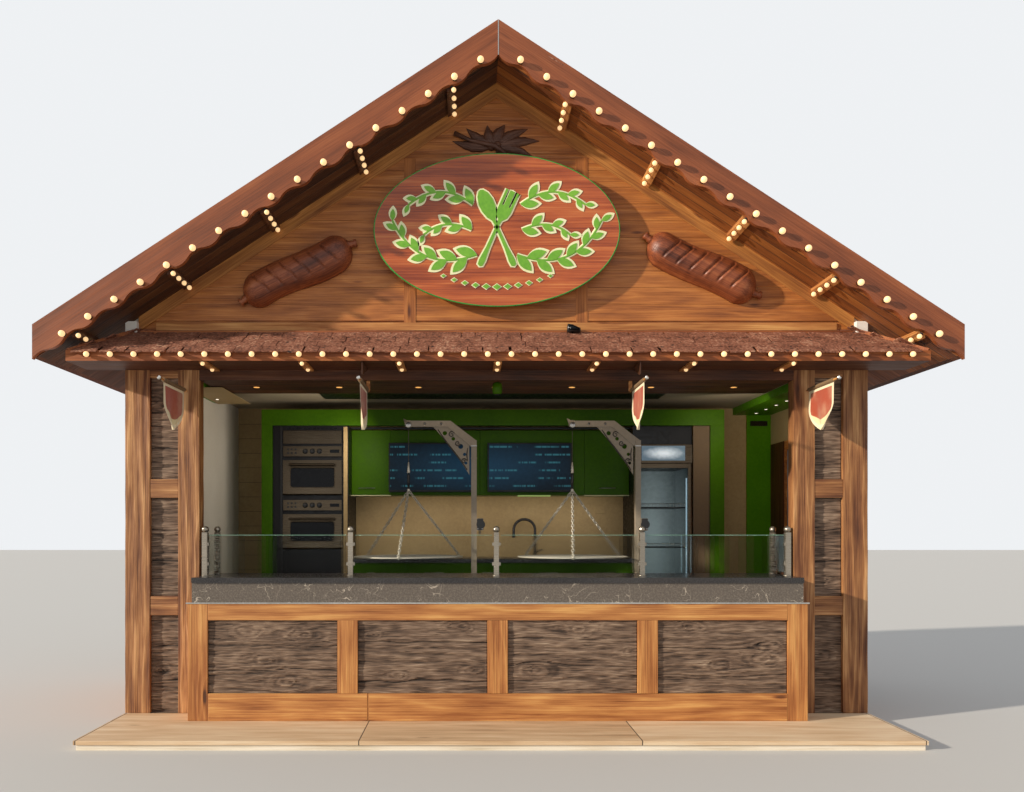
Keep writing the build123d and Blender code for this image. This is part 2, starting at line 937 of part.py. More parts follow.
def make_arm(place):
    """A level arm with a sloped elbow, a drilled gusset and a sleeve on the post's pin."""
    tip = place - crane_reach - arm_height / 2
    with BuildPart() as arm:
        with BuildSketch(Plane.XZ.offset(-y_at(crane_depth - arm_width / 2))) as outline:
            Polygon(
                (tip, arm_top),
                (place - arm_elbow, arm_top),
                (place + tube_half, sleeve_bottom + arm_height),
                (place + tube_half, sleeve_bottom),
                (place - tube_half, sleeve_bottom),
                (place - arm_elbow - arm_height / 2, arm_bottom),
                (tip, arm_bottom),
                align=None,
            )
        extrude(outline.sketch, amount=-arm_width)
        with BuildSketch(Plane.XY.offset(sleeve_bottom)) as sleeve:
            with Locations((place, y_at(crane_depth))):
                Rectangle(crane_tube, crane_tube)
        extrude(sleeve.sketch, amount=pin_length)
        with BuildSketch(Plane.XZ.offset(-y_at(crane_depth - gusset_thickness / 2))) as gusset:
            with BuildLine():
                belly_in, belly_down = gusset_belly
                bend = (place - arm_elbow - arm_height / 2, arm_bottom)
                root = (place - gusset_side, sleeve_bottom + arm_height)
                low = (place - gusset_side, sleeve_bottom - gusset_drop)
                out = (place - gusset_reach, arm_bottom)
                Polyline(out, bend, root, low)
                ThreePointArc(low, (place - belly_in, sleeve_bottom - belly_down), out)
            make_face()
            for across, down, hole in gusset_holes:
                with Locations((place - across, sleeve_bottom - down)):
                    Circle(hole / 2, mode=Mode.SUBTRACT)
        extrude(gusset.sketch, amount=-gusset_thickness)
        with Locations((place, y_at(crane_depth), sleeve_bottom + pin_length / 2)):
            Cylinder(pin_diameter / 2 + pin_clearance, pin_length, mode=Mode.SUBTRACT)
    return arm


hook_bottom = apex_height + hook_diameter / 2 + seat_gap
hook_top = hook_bottom + hook_height


def make_wire(place):
    """The wire that hangs from the arm's tip."""
    with BuildPart() as wire:
        upright((place - crane_reach, crane_depth), wire_diameter, (hook_top + seat_gap, arm_bottom))
    return wire


def make_hook(place):
    """The swivel block at the foot of the wire."""
    with BuildPart() as hook:
        upright((place - crane_reach, crane_depth), hook_diameter, (hook_bottom, hook_top))
    return hook


def make_grill(place):
    """A ring grate with bars, on three chains that meet in a block under the hook."""
    x = place - crane_reach
    y = y_at(crane_depth)
    ring_centre = grate_radius - grate_wire / 2
    bar_step = 2 * ring_centre / (grate_bars + 1)
    with BuildPart() as grill:
        with BuildSketch(Plane.XY.offset(grate_height - grate_wire / 2)):
            with Locations((x, y)):
                Circle(grate_radius)
                Circle(grate_radius - grate_wire, mode=Mode.SUBTRACT)
        extrude(amount=grate_wire)
        for number in range(grate_bars):
            offset = -ring_centre + (number + 1) * bar_step
            reach = (ring_centre**2 - offset**2) ** 0.5
            with Locations((x, y + offset, grate_height)):
                Box(2 * reach, grate_bar_wire, grate_bar_wire)
        head = Vector(x, y, apex_height)
        for number in range(chain_count):
            turn = radians(chain_turn + number * 360 / chain_count)
            foot = Vector(x + ring_centre * cos(turn), y + ring_centre * sin(turn), grate_height)
            with BuildSketch(Plane(foot, z_dir=head - foot)) as link:
                RegularPolygon(chain_diameter / 2, 6)
            extrude(link.sketch, amount=(head - foot).length)
        upright((x, crane_depth), hook_diameter, (apex_height - hook_diameter / 2, apex_height + hook_diameter / 2))
    return grill


for place, word in zip(crane_places, ("left", "right")):
    finish(make_arm(place), f"{word}_crane_arm")
    finish(make_wire(place), f"{word}_hoist_wire")
    finish(make_hook(place), f"{word}_hook")
    finish(make_grill(place), f"{word}_grill")

# Fitted kitchen: green portal, oven housing, cabinets, worktop and cold cabinet
band_bottom = portal_top - portal_band
with BuildPart() as portal_frame:
    beam((-portal_left, -portal_left + portal_left_leg), (unit_front, wall_back), (platform_height, band_bottom))
    beam((portal_right - portal_right_leg, portal_right), (unit_front, wall_back), (platform_height, band_bottom))
    beam(
        (-portal_left, portal_right),
        (unit_front, unit_front + portal_band_thickness),
        (band_bottom, portal_top),
    )
finish(portal_frame, "portal_frame")

housing_left = -portal_left + portal_left_leg
oven_left = cabinet_left - oven_gap - oven_width
oven_right = oven_left + oven_width
housing_front = unit_front + oven_front_thickness
with BuildPart() as oven_housing:
    beam((housing_left, cabinet_left), (housing_front, wall_back), (platform_height, band_bottom))
    for bottom, top in oven_rows:
        centre = ((oven_left + oven_right) / 2, y_at(housing_front), (bottom + top) / 2)
        with Locations(centre):
            Box(
                oven_width - 2 * oven_side,
                2 * oven_cavity_depth,
                top - bottom - 2 * oven_side,
                mode=Mode.SUBTRACT,
            )
    for bottom, top in oven_panel_rows:
        beam((oven_left, oven_right), (unit_front, housing_front), (bottom, top))
finish(oven_housing, "oven_housing")


def make_oven_door(bottom, top):
    """A glazed oven door with a bar handle, hinged inside its rounded foot."""
    with BuildPart() as door:
        middle = (oven_left + oven_right) / 2
        door_face = housing_front - seat_gap - oven_door_thickness
        half_leaf = oven_door_thickness / 2
        with BuildSketch(Plane.YZ.offset(oven_left)) as foot:
            with Locations((y_at(door_face + half_leaf), bottom + half_leaf)):
                Circle(half_leaf)
        extrude(foot.sketch, amount=oven_width)
        beam((oven_left, oven_right), (door_face, housing_front - seat_gap), (bottom + half_leaf, top))
        window_x, window_z, window_sunk = oven_window
        with Locations((middle, y_at(door_face), (bottom + top) / 2)):
            Box(window_x, 2 * window_sunk, window_z, mode=Mode.SUBTRACT)
        length, bar, reach, below = oven_handle
        for side in (-1, 1):
            x = sorted((middle + side * (length / 2 - bar), middle + side * length / 2))
            beam(x, (door_face - reach, door_face), (top - below - bar, top - below))
        beam(
            (middle - length / 2, middle + length / 2),
            (door_face - reach - bar, door_face - reach),
            (top - below - bar, top - below),
        )
    return door


for (bottom, top), word in zip(oven_rows, ("lower", "upper")):
    finish(make_oven_door(bottom, top), f"{word}_oven_door")

with BuildPart() as wall_cabinets:
    beam((cabinet_left, cabinet_right), (cabinet_front, wall_back), (cabinet_bottom, cabinet_top))
finish(wall_cabinets, "wall_cabinets")

with BuildPart() as base_cabinets:
    beam(
        (cabinet_left, cabinet_right),
        (unit_front, wall_back),
        (platform_height, base_top - worktop),
    )
finish(base_cabinets, "base_cabinets")

tap_depth = wall_back - tap_set_back
with BuildPart() as worktop_board:
    beam(
        (cabinet_left, cabinet_right),
        (unit_front - worktop_nose, wall_back),
        (base_top - worktop, base_top),
    )
    with BuildLine() as spout:
        foot = (tap_place, y_at(tap_depth), base_top)
        bend = (tap_place, y_at(tap_depth), base_top + tap_height - tap_reach / 2)
        over = (tap_place - tap_reach / 2, y_at(tap_depth), base_top + tap_height)
        down = (tap_place - tap_reach, y_at(tap_depth), base_top + tap_height - tap_reach / 2)
        mouth = (tap_place - tap_reach, y_at(tap_depth), base_top + tap_height - tap_drop)
        Line(foot, bend)
        ThreePointArc(bend, over, down)
        Line(down, mouth)
    with BuildSketch(Plane(foot, z_dir=(0, 0, 1))):
        Circle(tap_diameter / 2)
    sweep()
finish(worktop_board, "worktop")

with BuildPart() as screens:
    for place in screen_places:
        beam(
            (place - screen_width / 2, place + screen_width / 2),
            (cabinet_front - screen_bracket / 2 - screen_thickness, cabinet_front - screen_bracket / 2),
            (screen_bottom, screen_bottom + screen_height),
        )
        beam(
            (place - screen_bracket, place + screen_bracket),
            (cabinet_front - screen_bracket / 2, cabinet_front),
            (
                screen_bottom + screen_height / 2 - screen_bracket,
                screen_bottom + screen_height / 2 + screen_bracket,
            ),
        )
finish(screens, "screens")

# Cold cabinet with a glazed door and a lit head
fridge_front = unit_front + fridge_door_thickness + seat_gap
with BuildPart() as fridge_body:
    beam((fridge_left, fridge_right), (fridge_front, wall_back), (platform_height, fridge_top))
    hollow_bottom = platform_height + fridge_plinth
    hollow_top = fridge_door_top - fridge_wall
    centre = (
        (fridge_left + fridge_right) / 2,
        y_at((fridge_front + wall_back - 2 * fridge_wall) / 2),
        (hollow_bottom + hollow_top) / 2,
    )
    with Locations(centre):
        Box(
            fridge_right - fridge_left - 2 * fridge_wall,
            wall_back - fridge_front,
            hollow_top - hollow_bottom,
            mode=Mode.SUBTRACT,
        )
    shelf_step = (hollow_top - hollow_bottom) / (fridge_shelves + 1)
    for number in range(fridge_shelves):
        z = hollow_bottom + (number + 1) * shelf_step
        beam(
            (fridge_left + fridge_wall, fridge_right - fridge_wall),
            (fridge_front + fridge_wall, wall_back - fridge_wall),
            (z, z + fridge_shelf),
        )
finish(fridge_body, "fridge_body")

door_foot = hollow_bottom - fridge_wall
half_door = fridge_door_thickness / 2
with BuildPart() as fridge_door:
    beam(
        (fridge_left, fridge_right - half_door),
        (unit_front, unit_front + fridge_door_thickness),
        (door_foot, fridge_door_top),
    )
    stile_place = (fridge_right - half_door, unit_front + half_door)
    upright(stile_place, fridge_door_thickness, (door_foot, fridge_door_top))
    for depth in (unit_front, unit_front + fridge_door_thickness):
        centre = ((fridge_left + fridge_right) / 2, y_at(depth), (door_foot + fridge_door_top) / 2)
        with Locations(centre):
            Box(
                fridge_right - fridge_left - 2 * fridge_stile,
                fridge_door_thickness - fridge_pane,
                fridge_door_top - door_foot - 2 * fridge_stile,
                mode=Mode.SUBTRACT,
            )
    reach, height, bar, inset = fridge_handle
    handle_x = fridge_left + inset
    middle_z = (door_foot + fridge_door_top) / 2
    for side in (-1, 1):
        z = sorted((middle_z + side * (height / 2 - bar), middle_z + side * height / 2))
        beam((handle_x, handle_x + bar), (unit_front - reach, unit_front), z)
    beam(
        (handle_x, handle_x + bar),
        (unit_front - reach - bar, unit_front - reach),
        (middle_z - height / 2, middle_z + height / 2),
    )
finish(fridge_door, "fridge_door")
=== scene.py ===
# %% [markdown]
# # Dressing a wooden market hut
# The joinery comes in as a fixed frame of plain solids in metres: X runs along the counter,
# Y into the hut and Z up. Everything below adds what the eye sees on the real hut: brushed boards,
# split shakes, bulbs, chains, glass and lacquer. Each step says what the thing is, how it could be
# made and why this way was taken.

# %% Load the frame
import random
from math import ceil, cos, exp, hypot, pi, radians, sin, sqrt, tan, tanh

import bmesh
import bpy
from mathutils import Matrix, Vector, noise


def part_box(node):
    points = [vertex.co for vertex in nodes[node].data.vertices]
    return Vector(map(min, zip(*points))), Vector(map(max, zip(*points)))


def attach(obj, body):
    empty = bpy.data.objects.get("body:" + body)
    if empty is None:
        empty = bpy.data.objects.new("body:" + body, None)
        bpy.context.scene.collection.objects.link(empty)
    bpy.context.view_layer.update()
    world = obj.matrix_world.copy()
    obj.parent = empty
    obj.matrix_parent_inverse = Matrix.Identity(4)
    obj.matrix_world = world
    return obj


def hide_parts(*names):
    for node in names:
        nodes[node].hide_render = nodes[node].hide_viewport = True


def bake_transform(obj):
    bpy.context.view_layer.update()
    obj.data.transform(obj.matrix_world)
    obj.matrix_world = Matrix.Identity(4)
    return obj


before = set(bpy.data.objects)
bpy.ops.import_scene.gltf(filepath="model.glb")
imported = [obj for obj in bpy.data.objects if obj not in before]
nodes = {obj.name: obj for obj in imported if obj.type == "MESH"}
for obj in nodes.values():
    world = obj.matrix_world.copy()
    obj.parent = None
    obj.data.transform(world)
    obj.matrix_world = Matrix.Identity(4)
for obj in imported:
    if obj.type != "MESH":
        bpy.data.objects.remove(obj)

noise.seed_set(1)  # noise_vector takes its seed from the clock otherwise
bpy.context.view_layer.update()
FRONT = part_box("flank_posts")[0].y
PITCH = radians(33.2)
DECK = 0.07
HALF_HUT = 3.0
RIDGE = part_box("left_roof")[1].z
print("front face of the posts at y =", round(FRONT, 4), "ridge at", round(RIDGE, 4), "nodes", len(nodes))

# %% [markdown]
# ## Camera
# The photo was taken from head height, a little left of the middle, with upright lines kept
# upright. A level camera with a shifted frame gives the same picture, so nothing is tilted.

# %% Camera
lens = bpy.data.cameras.new("photo_camera")
lens.sensor_width = 36.0
lens.lens = 30.47
lens.shift_x = 0.043
lens.shift_y = 0.131
lens.clip_end = 200.0
camera = bpy.data.objects.new("photo_camera", lens)
bpy.context.scene.collection.objects.link(camera)
camera.location = (-0.23, FRONT - 7.0, 1.548)
camera.rotation_euler = (radians(90), 0.0, 0.0)
bpy.context.scene.camera = camera
print("camera at", tuple(round(v, 3) for v in camera.location))

# %% [markdown]
# ## Floor, backdrop and light
# A studio needs a pale floor that takes the shadow and a pale surround. The world shows that
# surround only to rays that look at it, or at its reflection, and lights the hut more softly.
# One low sun from the left gives the boards their shape. Its sideways angle comes from the
# left barge board's shadow on the gable; its height within that is bounded by a sunlit spot on
# the green portal. Its strength is given.


# %% Helpers for objects and nodes
def show(made):
    """Put an object in the scene."""
    bpy.context.scene.collection.objects.link(made)


class Value:
    """A node's output. A sum written with values becomes Math nodes in their tree."""

    def __init__(self, socket):
        self.socket = socket

    def math(self, operation, *pair):
        return calc(self.socket.id_data, operation, *pair)

    def __add__(self, other):
        return self.math("ADD", self, other)

    def __radd__(self, other):
        return self.math("ADD", other, self)

    def __sub__(self, other):
        return self.math("SUBTRACT", self, other)

    def __rsub__(self, other):
        return self.math("SUBTRACT", other, self)

    def __mul__(self, other):
        return self.math("MULTIPLY", self, other)

    def __truediv__(self, other):
        return self.math("DIVIDE", self, other)


def fill(made, socket, source):
    """Link a value to a node's input, or set the input to something plain."""
    if isinstance(source, Value):
        made.id_data.links.new(source.socket, made.inputs[socket])
    else:
        made.inputs[socket].default_value = source


def node(tree, kind, links=None, **settings):
    """Add a node, set its properties, then fill its inputs."""
    made = tree.nodes.new(kind)
    for key, value in settings.items():
        setattr(made, key, value)
    for socket, source in (links or {}).items():
        fill(made, socket, source)
    return made


def value_of(tree, kind, links=None, take=0, **settings):
    """One output of a new node."""
    return Value(node(tree, kind, links, **settings).outputs[take])


def outputs_of(tree, kind, links=None, **settings):
    """All outputs of a new node, by name."""
    return {each.name: Value(each) for each in node(tree, kind, links, **settings).outputs}


def geo(tree, kind, links=None, **settings):
    """The first output of a new geometry node."""
    return value_of(tree, "GeometryNode" + kind, links, **settings)


def calc(tree, operation, *values, clamp=False):
    """One Math node."""
    links = dict(enumerate(values))
    return value_of(tree, "ShaderNodeMath", links, operation=operation, use_clamp=clamp)


def vector(tree, operation, *values):
    """One Vector Math node."""
    take = "Value" if operation in ("LENGTH", "DISTANCE") else 0
    links = dict(enumerate(values))
    return value_of(tree, "ShaderNodeVectorMath", links, take, operation=operation)


def clouds(tree, where, scale, detail, **more):
    """A noise texture's value."""
    links = {0: where, "Scale": scale, "Detail": detail, **more}
    return value_of(tree, "ShaderNodeTexNoise", links)


def xyz(tree, x=0.0, y=0.0, z=0.0):
    """Three values as one vector."""
    return value_of(tree, "ShaderNodeCombineXYZ", {0: x, 1: y, 2: z})


def axes_of(tree, place):
    """The three values of a vector."""
    return list(outputs_of(tree, "ShaderNodeSeparateXYZ", {0: place}).values())


# %% World and sun
world = bpy.data.worlds.new("studio")
bpy.context.scene.world = world
world.use_nodes = True
sky = world.node_tree
sky.nodes.clear()
path = outputs_of(sky, "ShaderNodeLightPath")
seen = calc(sky, "MAXIMUM", path["Is Camera Ray"], path["Is Glossy Ray"])
seen = calc(sky, "MAXIMUM", seen, path["Is Transmission Ray"])
soft = value_of(sky, "ShaderNodeBackground", {"Color": (0.93, 0.96, 1.0, 1), "Strength": 0.55})
pale = value_of(sky, "ShaderNodeBackground", {"Color": (0.86, 0.88, 0.9, 1), "Strength": 1.0})
mixed = value_of(sky, "ShaderNodeMixShader", {0: seen, 1: soft, 2: pale})
node(sky, "ShaderNodeOutputWorld", {0: mixed})

sun_data = bpy.data.lights.new("sun", "SUN")
sun_data.energy = 4.5
sun_data.angle = radians(1.5)
sun_data.color = (1.0, 0.9, 0.76)
sun = bpy.data.objects.new("sun", sun_data)
show(sun)
sun.rotation_euler = Vector((-2.4, -1.0, 0.78)).to_track_quat("Z", "Y").to_euler()
bpy.context.scene.view_settings.view_transform = "Standard"

for place, aim, power, wide in (
    ((-1.3, FRONT + 0.9, 2.4), (-2.63, FRONT + 1.6, 1.75), 6.0, 0.8),
    ((2.2, FRONT + 0.9, 2.6), (2.5, FRONT + 1.9, 1.8), 2.6, 0.5),
    ((0.3, FRONT + 0.9, 2.72), (0.3, FRONT + 0.9, 0.0), 2.0, 1.8),
    ((0.0, FRONT + 1.7, 1.76), (0.0, FRONT + 2.07, 1.5), 2.4, 2.4),
):
    lamp_data = bpy.data.lights.new("ceiling_lamp", "AREA")
    lamp_data.shape = "RECTANGLE"
    lamp_data.size, lamp_data.size_y = wide, 0.3
    lamp_data.energy = power
    lamp_data.color = (1.0, 0.87, 0.7)
    ceiling_lamp = bpy.data.objects.new("ceiling_lamp", lamp_data)
    show(ceiling_lamp)
    ceiling_lamp.location = place
    ceiling_lamp.rotation_euler = (Vector(place) - Vector(aim)).to_track_quat("Z", "Y").to_euler()
    ceiling_lamp.visible_camera = False
    ceiling_lamp.visible_glossy = False

floor_mesh = bpy.data.meshes.new("studio_floor")
span = 60.0
floor_mesh.from_pydata(
    [(-span, -span, 0), (span, -span, 0), (span, span, 0), (-span, span, 0)], [], [(0, 1, 2, 3)]
)
studio_floor = bpy.data.objects.new("studio_floor", floor_mesh)
show(studio_floor)
floor_finish = bpy.data.materials.new("studio_floor")
floor_finish.use_nodes = True
floor_shader = floor_finish.node_tree.nodes["Principled BSDF"]
fill(floor_shader, "Base Color", (0.6, 0.59, 0.57, 1))
fill(floor_shader, "Roughness", 0.9)
floor_mesh.materials.append(floor_finish)
print("sun energy", sun_data.energy)

# %% [markdown]
# ## Wood
# Nearly all of the hut is softwood, brushed so that the grain stands up and oiled orange-brown,
# red-brown or left grey. A photo of wood would repeat and fix one scale. Noise that is stretched
# along the grain gives streaks, a wave bent by that noise gives growth rings, and a Voronoi cell
# here and there is a knot. Where a face is made of boards, the board's number shifts the pattern,
# so that no two boards match, and the joints between boards are sunk and dark.


# %% Colours and the wood finish
def rgb(code):
    """A colour written as six hex digits, as the linear values that shaders take."""
    parts = [int(code[i : i + 2], 16) / 255 for i in (0, 2, 4)]
    return tuple(p / 12.92 if p <= 0.04045 else ((p + 0.055) / 1.055) ** 2.4 for p in parts) + (1.0,)


def mix(tree, share, a, b):
    """One colour run into another; either may be written as hex digits."""
    a, b = (rgb(c) if isinstance(c, str) else c for c in (a, b))
    return value_of(tree, "ShaderNodeMix", {0: share, 6: a, 7: b}, data_type="RGBA", take=2)


def surface_of(tree, shader, height, strength, distance):
    """Raise the shader's surface by a height."""
    values = {"Strength": strength, "Distance": distance, "Height": height}
    fill(shader, "Normal", value_of(tree, "ShaderNodeBump", values))


def finish(name, rough=0.5, metal=0.0, colour="808080"):
    """A material with its main shader ready."""
    made = bpy.data.materials.new(name)
    made.use_nodes = True
    shader = made.node_tree.nodes["Principled BSDF"]
    fill(shader, "Base Color", rgb(colour))
    fill(shader, "Roughness", rough)
    fill(shader, "Metallic", metal)
    return made, made.node_tree, shader


def ramp(tree, factor, stops):
    """A colour ramp from (position, hex colour) pairs."""
    made = node(tree, "ShaderNodeValToRGB", {0: factor})
    steps = made.color_ramp.elements
    while len(steps) < len(stops):
        steps.new(0.5)
    for step, (place, code) in zip(steps, stops):
        step.position = place
        step.color = rgb(code)
    return Value(made.outputs[0])


def spread(tree, value, low, high, to_low=0.0, to_high=1.0):
    """Map a range of values smoothly on to another."""
    links = {"Value": value, "From Min": low, "From Max": high, "To Min": to_low, "To Max": to_high}
    return value_of(tree, "ShaderNodeMapRange", links, interpolation_type="SMOOTHSTEP")


def place_of(tree, tilt=0.0, fold=False):
    """Object coordinates, folded left on to right and turned about Y where a slope asks for it."""
    place = value_of(tree, "ShaderNodeTexCoord", take="Object")
    if fold:
        place = vector(tree, "ABSOLUTE", place)
    if tilt:
        place = value_of(tree, "ShaderNodeMapping", {0: place, "Rotation": (0, tilt, 0)})
    return place


def wood(
    name, tones, along="X", joints=None, tilt=0.0, fold=False, rough=0.62, relief=1.0, scale=1.0, knots=0.3,
    rings=0.1, darken=0.04, under=0.0
):
    """Brushed wood, its tones from dark to light. joints is (axis, pitch, start) of its boards.
    under says how strongly the sides that face down are painted darker, as painted shade."""
    made, tree, shader = finish(name, rough)
    place = place_of(tree, tilt, fold)
    axes = axes_of(tree, place)
    gap = None
    if joints:
        axis, pitch, start = joints
        turns = (axes[axis] - start) / pitch
        number = calc(tree, "FLOOR", turns)
        edge = calc(tree, "ABSOLUTE", calc(tree, "FRACT", turns) - 0.5)
        gap = spread(tree, edge, 0.5 - 0.005 / pitch, 0.5 - 0.0015 / pitch)
        luck = outputs_of(tree, "ShaderNodeTexWhiteNoise", {"W": number}, noise_dimensions="1D")
        shift = vector(tree, "MULTIPLY", luck["Color"], (9, 9, 9))
        place = vector(tree, "ADD", place, shift)

    def stretched(lengthways, sideways):
        sizes = [sideways * scale] * 3
        sizes["XYZ".index(along)] = lengthways * scale
        return vector(tree, "MULTIPLY", place, sizes)

    broad = clouds(tree, stretched(1.7, 9.0), 1.0, 5.0)
    drift = clouds(tree, stretched(0.45, 3.5), 1.0, 1.0)
    streak = clouds(tree, stretched(2.6, 130.0), 1.0, 6.0)
    cell = value_of(tree, "ShaderNodeTexVoronoi", {0: stretched(1.1, 4.6), "Scale": 1.0}, take="Distance")
    knot = spread(tree, cell, 0.02, 0.1, 1.0, 0.0)
    swirl = spread(tree, cell, 0.0, 0.35, 1.0, 0.0) * 1.6
    phase = drift * 7.0 + swirl
    sides = axes_of(tree, place)
    phase = phase + sides[{"X": 2, "Y": 2, "Z": 0}[along]] * (19.0 * scale)
    phase = phase + sides[{"X": 1, "Y": 0, "Z": 1}[along]] * (9.0 * scale)
    ring = calc(tree, "PINGPONG", phase, 1.0)
    ring = calc(tree, "POWER", ring, 1.8)
    tone = broad * 0.6 + streak * 0.5
    tone = tone + ring * rings
    if joints:
        tone = tone + (luck["Value"] - 0.5) * 0.22
    tone = tone - knot * knots
    tone = calc(tree, "SUBTRACT", tone, darken, clamp=True)
    stops = [(0.25 + 0.5 * i / (len(tones) - 1), code) for i, code in enumerate(tones)]
    colour = ramp(tree, tone, stops)
    height = streak * 0.8 + ring * 0.5
    if joints:
        colour = mix(tree, gap, colour, "1a0f09")
        height = height - gap * 3.0
    # Sides that face down run towards a dark brown: painted shade.
    if under:
        facing = value_of(tree, "ShaderNodeNewGeometry", take="True Normal")
        painted_shade_below = spread(tree, axes_of(tree, facing)[2], -0.9, -0.4, under, 0.0)
        colour = mix(tree, painted_shade_below, colour, "331606")
    fill(shader, "Base Color", colour)
    surface_of(tree, shader, height, min(1.0, 0.55 * relief), 0.004)
    gloss = spread(tree, streak, 0.3, 0.7, min(1.0, rough + 0.12), rough - 0.12)
    fill(shader, "Roughness", gloss)
    return made


def torn_wood(name, tones):
    """Wood torn along its grain: a vertex attribute, hollow, says how deep each spot lies."""
    made, tree, shader = finish(name, 0.85)
    place = place_of(tree)
    hollow = value_of(tree, "ShaderNodeAttribute", attribute_name="hollow", take="Fac")
    sized = vector(tree, "MULTIPLY", place, (6, 6, 150))
    bend = xyz(tree, z=hollow * 2.6)
    sized = vector(tree, "ADD", sized, bend)
    streak = clouds(tree, sized, 1.0, 6.0, Distortion=0.5)
    blotch = clouds(tree, place, 5.0, 4.0)
    # Deeper spots are made darker: painted shade in the torn hollows and splits, over the wood's own streaks.
    tone = calc(tree, "MULTIPLY_ADD", hollow, -0.45, 0.66)
    tone = tone + (streak - 0.5) * 1.3
    tone = tone + (blotch - 0.5) * 0.4
    colour = ramp(tree, tone, [(0.05 + 0.9 * i / (len(tones) - 1), code) for i, code in enumerate(tones)])
    fill(shader, "Base Color", colour)
    surface_of(tree, shader, streak, 0.6, 0.005)
    return made


# %% The hut's woods
ORANGE = ("4d280f", "945829", "bd8046", "dda863")
POST = ("231008", "683b1e", "9c693d", "cd9a66")
RED = ("4a2210", "713a1c", "8a4a27", "9d5b33")
BROWN = ("56290f", "8b4f22", "b06b31", "c98443")
SHADED = ("1a0c05", "381c0d", "522c14", "6a3e1f")
PALE = ("8a6d50", "c4a27c", "d8b892", "e6cdab")
post_wood = wood("post_wood", POST, "Z", relief=1.9, scale=1.2, knots=0.45, rings=0.14, darken=0.05)
stile_wood = wood("stile_wood", ORANGE, "Z", relief=1.3)
flank_rail_wood = wood("flank_rail_wood", POST, "X", relief=1.3)
rail_wood = wood("rail_wood", ORANGE, "X", relief=1.2)
deep_wood = wood("deep_wood", ORANGE, "Y")
# The fascia's sides that face down are painted darker, as painted shade.
fascia_wood = wood("fascia_wood", ("35160a", "6e3616", "934f22", "ac682e"), "X", under=0.8)
left_barge_wood = wood("left_barge_wood", RED, "X", tilt=PITCH, rough=0.5, rings=0.05, knots=0.15, relief=0.6)
right_barge_wood = wood(
    "right_barge_wood", RED, "X", tilt=-PITCH, rough=0.5, rings=0.05, knots=0.15, relief=0.6
)
back_barge_wood = wood("back_barge_wood", RED, "X", tilt=-PITCH, fold=True, rough=0.5)
rake_wood = wood("rake_wood", ("4c2710", "8c5426", "b47638", "d0904b"), "X", tilt=-PITCH, fold=True)
gable_wood = wood("gable_wood", BROWN, "X", relief=1.4, knots=0.25, rough=0.5, scale=1.3)
upright_wood = wood("upright_wood", BROWN, "Z")
# The two soffits are lit and shaded copies of one wood: the right one's lighter tones are painted sunlight,
# the left one's dark tones are painted shade.
sunny_soffit_wood = wood(
    "sunny_soffit_wood", ("47200a", "703a12", "8e501e", "a5652c"), "X", joints=(1, 0.118, FRONT - 0.45),
    tilt=-PITCH, fold=True
)
soffit_wood = wood(
    "soffit_wood", ("190b05", "351a0c", "4e2a13", "66401f"), "X", joints=(1, 0.118, FRONT - 0.45),
    tilt=-PITCH, fold=True
)
head_wood = wood("head_wood", SHADED, "X")
frame_wood = wood("frame_wood", SHADED, "Z")
side_wood = wood("side_wood", BROWN, "Y", relief=1.3, knots=0.3, rough=0.5)
rough_wood = torn_wood("rough_wood", ("17100c", "46362b", "6f5949", "927b67", "b39d86"))
deck_wood = wood(
    "deck_wood", PALE, "X", rough=0.75, relief=0.5, joints=(0, 1.99, -2.985), knots=0.25, darken=0.02
)
floor_wood = wood(
    "floor_wood", ("4a3a2c", "6d5844", "8a7560", "a08b74"), "X", joints=(1, 0.14, FRONT), rough=0.7
)
white_batten = wood(
    "white_batten", ("b7a58b", "d8c9b0", "ebdfca", "f5ecdb"), "X", rough=0.7, relief=0.5, knots=0.15
)
print("woods", len([m for m in bpy.data.materials if "wood" in m.name]))

# %% [markdown]
# ## Stone, metal, glass, lacquer and cloth
# The counter face is dark polished stone with thin pale veins: the edges of warped Voronoi cells
# make veins that end and fork. Steel is brushed, so its roughness is stretched noise. Lacquer and
# wall panels are plain but never flat: a faint mottle and a little unevenness keep them real.


# %% Other finishes
def mottled(name, dark, light, rough, metal=0.0, grain=(40, 40, 40), relief=0.1, spreading=0.12, shine=0.5):
    """A plain finish with faint unevenness in colour, gloss and surface."""
    made, tree, shader = finish(name, rough, metal)
    place = place_of(tree)
    sized = vector(tree, "MULTIPLY", place, grain)
    fine = clouds(tree, sized, 1.0, 5.0)
    broad = clouds(tree, place, 1.7, 3.0)
    tone = fine * 0.4 + broad * 0.6
    fill(shader, "Base Color", ramp(tree, tone, [(0.32, dark), (0.68, light)]))
    gloss = spread(tree, fine, 0.3, 0.7, max(0.02, rough - spreading), min(1.0, rough + spreading))
    fill(shader, "Roughness", gloss)
    surface_of(tree, shader, fine, relief, 0.001)
    fill(shader, "Specular IOR Level", shine)
    return made


def stone(name):
    """Dark polished stone with broken pale veins: level lines of a noise."""
    made, tree, shader = finish(name, 0.22)
    place = place_of(tree)
    field = clouds(tree, place, 6.0, 2.0, Distortion=1.2)
    line = spread(tree, calc(tree, "ABSOLUTE", field - 0.5), 0.0, 0.008, 0.9, 0.0)
    breaks = clouds(tree, place, 7.0, 4.0)
    line = line * spread(tree, breaks, 0.44, 0.58)
    cloud = clouds(tree, place, 70.0, 4.0, Roughness=0.7)
    ground = ramp(tree, cloud, [(0.34, "574f48"), (0.5, "655c53"), (0.66, "71675b")])
    colour = mix(tree, line, ground, "c9bcaa")
    fill(shader, "Base Color", colour)
    fill(shader, "Roughness", spread(tree, cloud, 0.3, 0.7, 0.16, 0.34))
    return made


